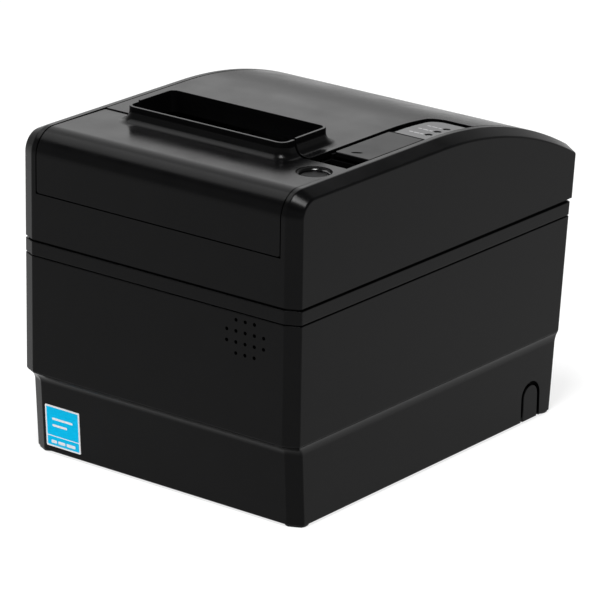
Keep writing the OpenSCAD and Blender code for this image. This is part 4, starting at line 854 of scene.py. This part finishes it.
def lip_half(side):
    """Half of the lip: its section (a thin flat rim with rounded edges on a concave skirt) carried
    round half of the slot, each point of it on its own rounded rectangle, and drawn in over a quarter
    circle at both ends. side is -1 in front."""
    bend = np.linspace(np.pi, 1.5 * np.pi, 13)
    rim_r, end_r, skirt_lift = 0.2, 0.3, 0.02
    z_foot = z_top - (front_sunk if side < 0 else 0)
    z_lip, z_skirt = z_foot + lip_h, z_foot + skirt_lift + flare_r
    across = np.concatenate([[0, 0], rim_r * ease_in, lip_wall - rim_r * ease_out,
                             lip_wall + flare_r + flare_r * np.cos(bend), [lip_wall + flare_r]])
    height = np.concatenate([[z_foot - wall, z_foot], z_lip - rim_r * ease_out, z_lip - rim_r * ease_in,
                             z_skirt + flare_r * np.sin(bend), [z_foot - wall]])
    lo, hi = slot_mid - slot_half - across[:, None], slot_mid + slot_half + across[:, None]
    turn = np.linspace(0, np.pi / 2, 4)[:3, None]
    cut = split_y + side * (split_gap / 2 + end_r)
    near, far = (lo, hi) if side < 0 else (hi, lo)
    corners = [(near[:, 0], cut), (near[:, 0], near[:, 1]), (far[:, 0], near[:, 1]), (far[:, 0], cut)]
    corners = np.stack([stacked(*c) for c in corners], 1)
    radius = stacked(0, slot_r + across, slot_r + across, 0)
    grid = at_level(rounded(corners, radius, 8), height).transpose(1, 0, 2)[8:-8]
    section = stacked(across, height)
    along = unit(np.roll(section, -1, 0) - np.roll(section, 1, 0))
    drawn = section + (end_r * (1 - np.sin(turn)))[..., None] * stacked(along[:, 1], -along[:, 0])
    end_y = cut - side * end_r * np.cos(turn)
    ends = [stacked(slot_mid[0] + way * (slot_half[0] + drawn[..., 0]), end_y, drawn[..., 1])
            for way in (side, -side)]
    return loft(np.concatenate([ends[0], grid, ends[1][::-1]]), closed=True)


piece("front_lip", [lip_half(-1)], case_plastic, "chassis", ["front_cover"], sharp=60)
button_gap, sleeve_t, sleeve_deep, lap = 0.3, 0.8, 8.5, 0.02
mouth_drop, pull_in, pull_down = 1.3, 0.15, 0.95
bore_r, mouth_top, sleeve_foot = open_r + button_gap, z_top - front_sunk - front_edge, z_top - sleeve_deep
bow = np.linspace(0, 1, 13)[:, None]
mouth = ((1 - bow) ** 2 * [mouth_r, mouth_top] + bow ** 2 * [bore_r, mouth_top - mouth_drop]
         + 2 * bow * (1 - bow) * [mouth_r - pull_in, mouth_top - pull_down])
sleeve = np.concatenate([
    [[bore_r, sleeve_foot], [bore_r + sleeve_t, sleeve_foot], [bore_r + sleeve_t, z_top - wall],
     [mouth_r + lap, z_top - wall + 0.1], [mouth_r + lap, mouth_top]], mouth, [[bore_r, sleeve_foot]]])
polished_plastic = grained("polished_plastic", *case_tones, (0.12, 0.17), grain=0.4, bump=0.01, specular=0.4)
piece("open_button_sleeve", [turned_part(sleeve, (*open_at, 0), 64)], polished_plastic, "chassis",
      ["front_cover"])

# Open button: a round black push button with a matt face in a polished ring, moulded in one with the
# stem that presses on the latch, and guided by the sleeve under the front cover.
button_top, button_round, button_h, stem_r, stem_foot = z_top - open_sunk, 0.6, 7.0, 2.0, 126.8
dish_z, button_foot = button_top - 0.3, button_top - button_h
button_profile = np.concatenate([
    [[0, stem_foot], [stem_r, stem_foot], [stem_r, button_foot], [open_r, button_foot]],
    stacked(open_r - button_round * ease_in, button_top - button_round * ease_out),
    [[open_r - 0.8, button_top - 0.02], [open_r - 0.95, dish_z], [0, dish_z]]])
piece("open_button_cap", [turned_part(button_profile, (*open_at, 0), 64)], polished_plastic, "open_key",
      ["open_button"])
matt_plastic = grained("matt_plastic", (0.002, 0.002, 0.0022), (0.004, 0.004, 0.0043), (0.4, 0.5), grain=0.3,
                       bump=0.1, patch=6, specular=0.07)
face_r, face_top, face_round = open_r - 1.0, button_top - 0.1, 0.1
face_profile = [[0, dish_z - 0.05], [face_r, dish_z - 0.05], [face_r, face_top - 0.06],
                [face_r - face_round, face_top], [0, face_top]]
piece("open_button_face", [turned_part(face_profile, (*open_at, 0), 64)], matt_plastic, "open_key")

# Paper cover: the hinged black cover behind the slot, with the rear half of the lip, two arms that
# carry the platen's bronze bushes, and two lugs on the blackened hinge pins.
strip_x, label_y, skirt_z = 44.3, 30.2, 99.3
rear_begin, rear_finish = along_top(split_y + split_gap / 2), down_rear(skirt_z + cover_gap)
notch_end, strip_end = along_top(slot_hi[1]), along_top(label_y + cover_gap)
strip_side, rear_edge = strip_x - cover_gap / 2, 0.2
paper_loop = rounded([[-cover_half, rear_begin], [slot_lo[0], rear_begin], [slot_lo[0], notch_end],
                      [slot_hi[0], notch_end], [slot_hi[0], rear_begin], [strip_side, rear_begin],
                      [strip_side, strip_end], [cover_half, strip_end], [cover_half, rear_finish],
                      [-cover_half, rear_finish]],
                     [0.8, 0.5, 5, 5, 0.5, 0.8, 7, 0.8, 1.5, 1.5], 8)
panel("paper_cover_skin", [paper_loop], roof, wall, rear_edge, case_plastic, "cover",
      ["paper_cover"], lines=bends[bends > along_top(-20)])
piece("rear_lip", [lip_half(1)], case_plastic, "cover", ["paper_cover"], sharp=60)
platen_y, platen_z = -46.5, 121.0
arm_r, arm_t, arm_in, arm_over, arm_top = 6.5, 2.5, 41.0, 0.8, z_top - 1.25
lug_r, lug_t, lug_back = 6.5, 3.0, hinge_y + 6


def plate_x(outline, x0, x1):
    """A flat plate across X: an outline in (y, z) carried from x0 to x1."""
    rows, faces = slab(outline, x0, x1)
    return np.roll(rows, 1, -1), faces


under = np.linspace(np.pi, 2 * np.pi, 21)
arm = np.concatenate([[[platen_y - arm_r + arm_over, arm_top]], arc((platen_y, platen_z), arm_r, under),
                      [[platen_y + arm_r + arm_over, platen_z], [platen_y + arm_r + arm_over, arm_top]]])
lug_top = roof(0.0, along_top(lug_back), wall)[2] + 1
lug = np.concatenate([[[hinge_y - 4, lug_top - 0.5]], arc((hinge_y, hinge_z), lug_r, under),
                      [[lug_back, hinge_z + 2.5], [lug_back, lug_top - 1]]])
arm_xs, lug_xs = (-arm_in - arm_t, arm_in), (-cover_half, cover_half - lug_t)
piece("paper_cover_arms", [*[plate_x(arm, slot_mid[0] + x, slot_mid[0] + x + arm_t) for x in arm_xs],
                           *[plate_x(lug, x, x + lug_t) for x in lug_xs]],
      case_plastic, "cover", ["paper_cover"], bevel=0.3)
bush_bronze = grained("bush_bronze", (0.42, 0.28, 0.12), (0.55, 0.38, 0.18), (0.3, 0.45), grain=0.2, bump=0.2,
                      patch=2, metallic=1.0)
blackened_steel = grained("blackened_steel", (0.012, 0.012, 0.014), (0.024, 0.024, 0.027), (0.35, 0.5),
                          grain=0.2, bump=0.08, patch=3, specular=0.2)
dress(blackened_steel, "hinge_pins")
dress(bush_bronze, "platen_bushes")

# Platen: a ground steel shaft with a rubber sleeve that drives the paper past the head; it turns in
# the bushes of the paper cover's arms.
platen_rubber = grained("platen_rubber", (0.012, 0.012, 0.012), (0.022, 0.022, 0.022), (0.6, 0.75), grain=0.2,
                        bump=0.15, specular=0.3)
dress(screw_steel, "platen_shaft")
dress(platen_rubber, "platen_rubber")

# Controls: a black tray with a finger pocket beside the slot, the long feed button behind it, and
# the grey film label with three sunk lamps, over a small board with the feed switch.
tray_x0, tray_x1, tray_wall = 44.55, 63.7, 1.2
pocket_y, feed_y, label_gap = -41.0, -3.4, 0.6
tray_plastic = grained("tray_plastic", (0.0014, 0.0014, 0.0015), (0.003, 0.003, 0.0032), (0.4, 0.5),
                       grain=0.4, bump=0.06, specular=0.03)
dress(tray_plastic, "control_tray")
dress(black_nylon, "feed_switch")
button_plastic = grained("button_plastic", (0.0016, 0.0016, 0.0018), (0.0034, 0.0034, 0.0037), (0.26, 0.34),
                         grain=0.5, bump=0.03, specular=0.074)
feed_x0, feed_t, feed_edge = tray_x0 + tray_wall + 0.3, 2.0, 0.5
feed_loop = square_loop(feed_x0, along_top(pocket_y + 0.3), tray_x1, along_top(feed_y - label_gap), 1.0, 4)
panel("feed_button_cap", [feed_loop], roof, feed_t, feed_edge, button_plastic, "feed_key",
      ["feed_button"])
feed_stem_at, feed_stem_r, feed_stem_foot, feed_stem_top = (54.725, -22.2, 0), 2.0, 135.5, z_top - 1.9
feed_stem = [[0, feed_stem_foot], [feed_stem_r - 0.3, feed_stem_foot], [feed_stem_r, feed_stem_foot + 0.3],
             [feed_stem_r, feed_stem_top], [0, feed_stem_top]]
piece("feed_button_stem", [turned_part(feed_stem, feed_stem_at, 24)], button_plastic, "feed_key",
      ["feed_button"])


def in_skin(sunk):
    """The upper body's skin moved inward by sunk, or outward where it is negative."""
    return lambda x, s, depth: roof(x, s, depth + sunk)


mark_at, mark_size, mark_tilt = (54.0, along_top(-36.1)), (2.4, 0.9), np.radians(31.7)
mark_turn = np.array([[np.cos(mark_tilt), np.sin(mark_tilt)], [-np.sin(mark_tilt), np.cos(mark_tilt)]])
mark_loop = mark_at + circle((0, 0), mark_size, 32) @ mark_turn
mark_ink = grained("mark_ink", (0.0008, 0.0008, 0.0009), (0.0016, 0.0016, 0.0017), (0.8, 0.9), grain=0.3,
                   bump=0.02, specular=0.01)
panel("feed_button_mark", [mark_loop], in_skin(-0.02), 0.04, 0.005, mark_ink, "feed_key")
label_film = grained("label_film", (0.086, 0.086, 0.088), (0.1, 0.1, 0.102), (0.36, 0.44), grain=0.3,
                     bump=0.04, specular=0.2)
print_grey = grained("print_grey", (0.3, 0.3, 0.305), (0.36, 0.36, 0.365), (0.36, 0.44), grain=0.3,
                     bump=0.02, specular=0.2)
label_x0, label_end, label_sunk, label_t, film_t, label_edge = 47.95, 25.8, 0.2, 0.8, 0.2, 0.06
lamp_r, lamp_x, lamp_sunk, lamp_gap, lamp_h = 1.5, 60.7, 0.5, 0.15, 9.0
lamp_ys = np.array([3.5, 9.8, 16.1])
label_loop = square_loop(label_x0, along_top(feed_y + label_gap), tray_x1, along_top(label_end),
                         [0.4, 0.4, 0.4, 6.0], 8)
label_loops = [label_loop, *[circle((lamp_x, along_top(y)), lamp_r + lamp_gap, 32, -1) for y in lamp_ys]]
label_lines = bends[(bends > along_top(-0.5)) & (bends < along_top(label_end - 0.5))]
for name, sunk, thick, material in (("film", label_sunk, film_t, label_film),
                                    ("carrier", label_sunk + film_t, label_t - film_t, tray_plastic)):
    panel("status_label_" + name, label_loops, in_skin(sunk), thick, label_edge, material, "chassis",
          ["status_label"], lines=label_lines)
dash_half, dash_shift, dash_lift = 0.45, 0.9, 0.015
dashes = [(y, x0, x1) for y in lamp_ys - dash_shift for x0, x1 in ((51.6, 53.4), (53.9, 56.6), (57.1, 58.7))]
for k, (y, x0, x1) in enumerate(dashes):
    dash = square_loop(x0, along_top(y - dash_half), x1, along_top(y + dash_half), 0.15)
    panel("status_label_dash_%d" % k, [dash], in_skin(label_sunk - dash_lift), 0.02, 0.004, print_grey,
          "chassis")
lamp_plastic = grained("lamp_plastic", (0.1, 0.105, 0.105), (0.14, 0.145, 0.145), (0.2, 0.3), grain=0.5,
                       bump=0.02, patch=2)
lamp_tops = roof(lamp_x, along_top(lamp_ys), label_sunk + lamp_sunk)[:, 2]
dome = [[0, -lamp_h], [lamp_r, -lamp_h], [lamp_r, -0.25], [lamp_r * 0.9, -0.1], [lamp_r * 0.6, -0.03], [0, 0]]
piece("status_lamps_domed", [turned_part(dome, (lamp_x, y, z), 32) for y, z in zip(lamp_ys, lamp_tops)],
      lamp_plastic, "chassis", ["status_lamps"])

# Last: the view layer brought up to date once every piece is placed.
bpy.context.view_layer.update()
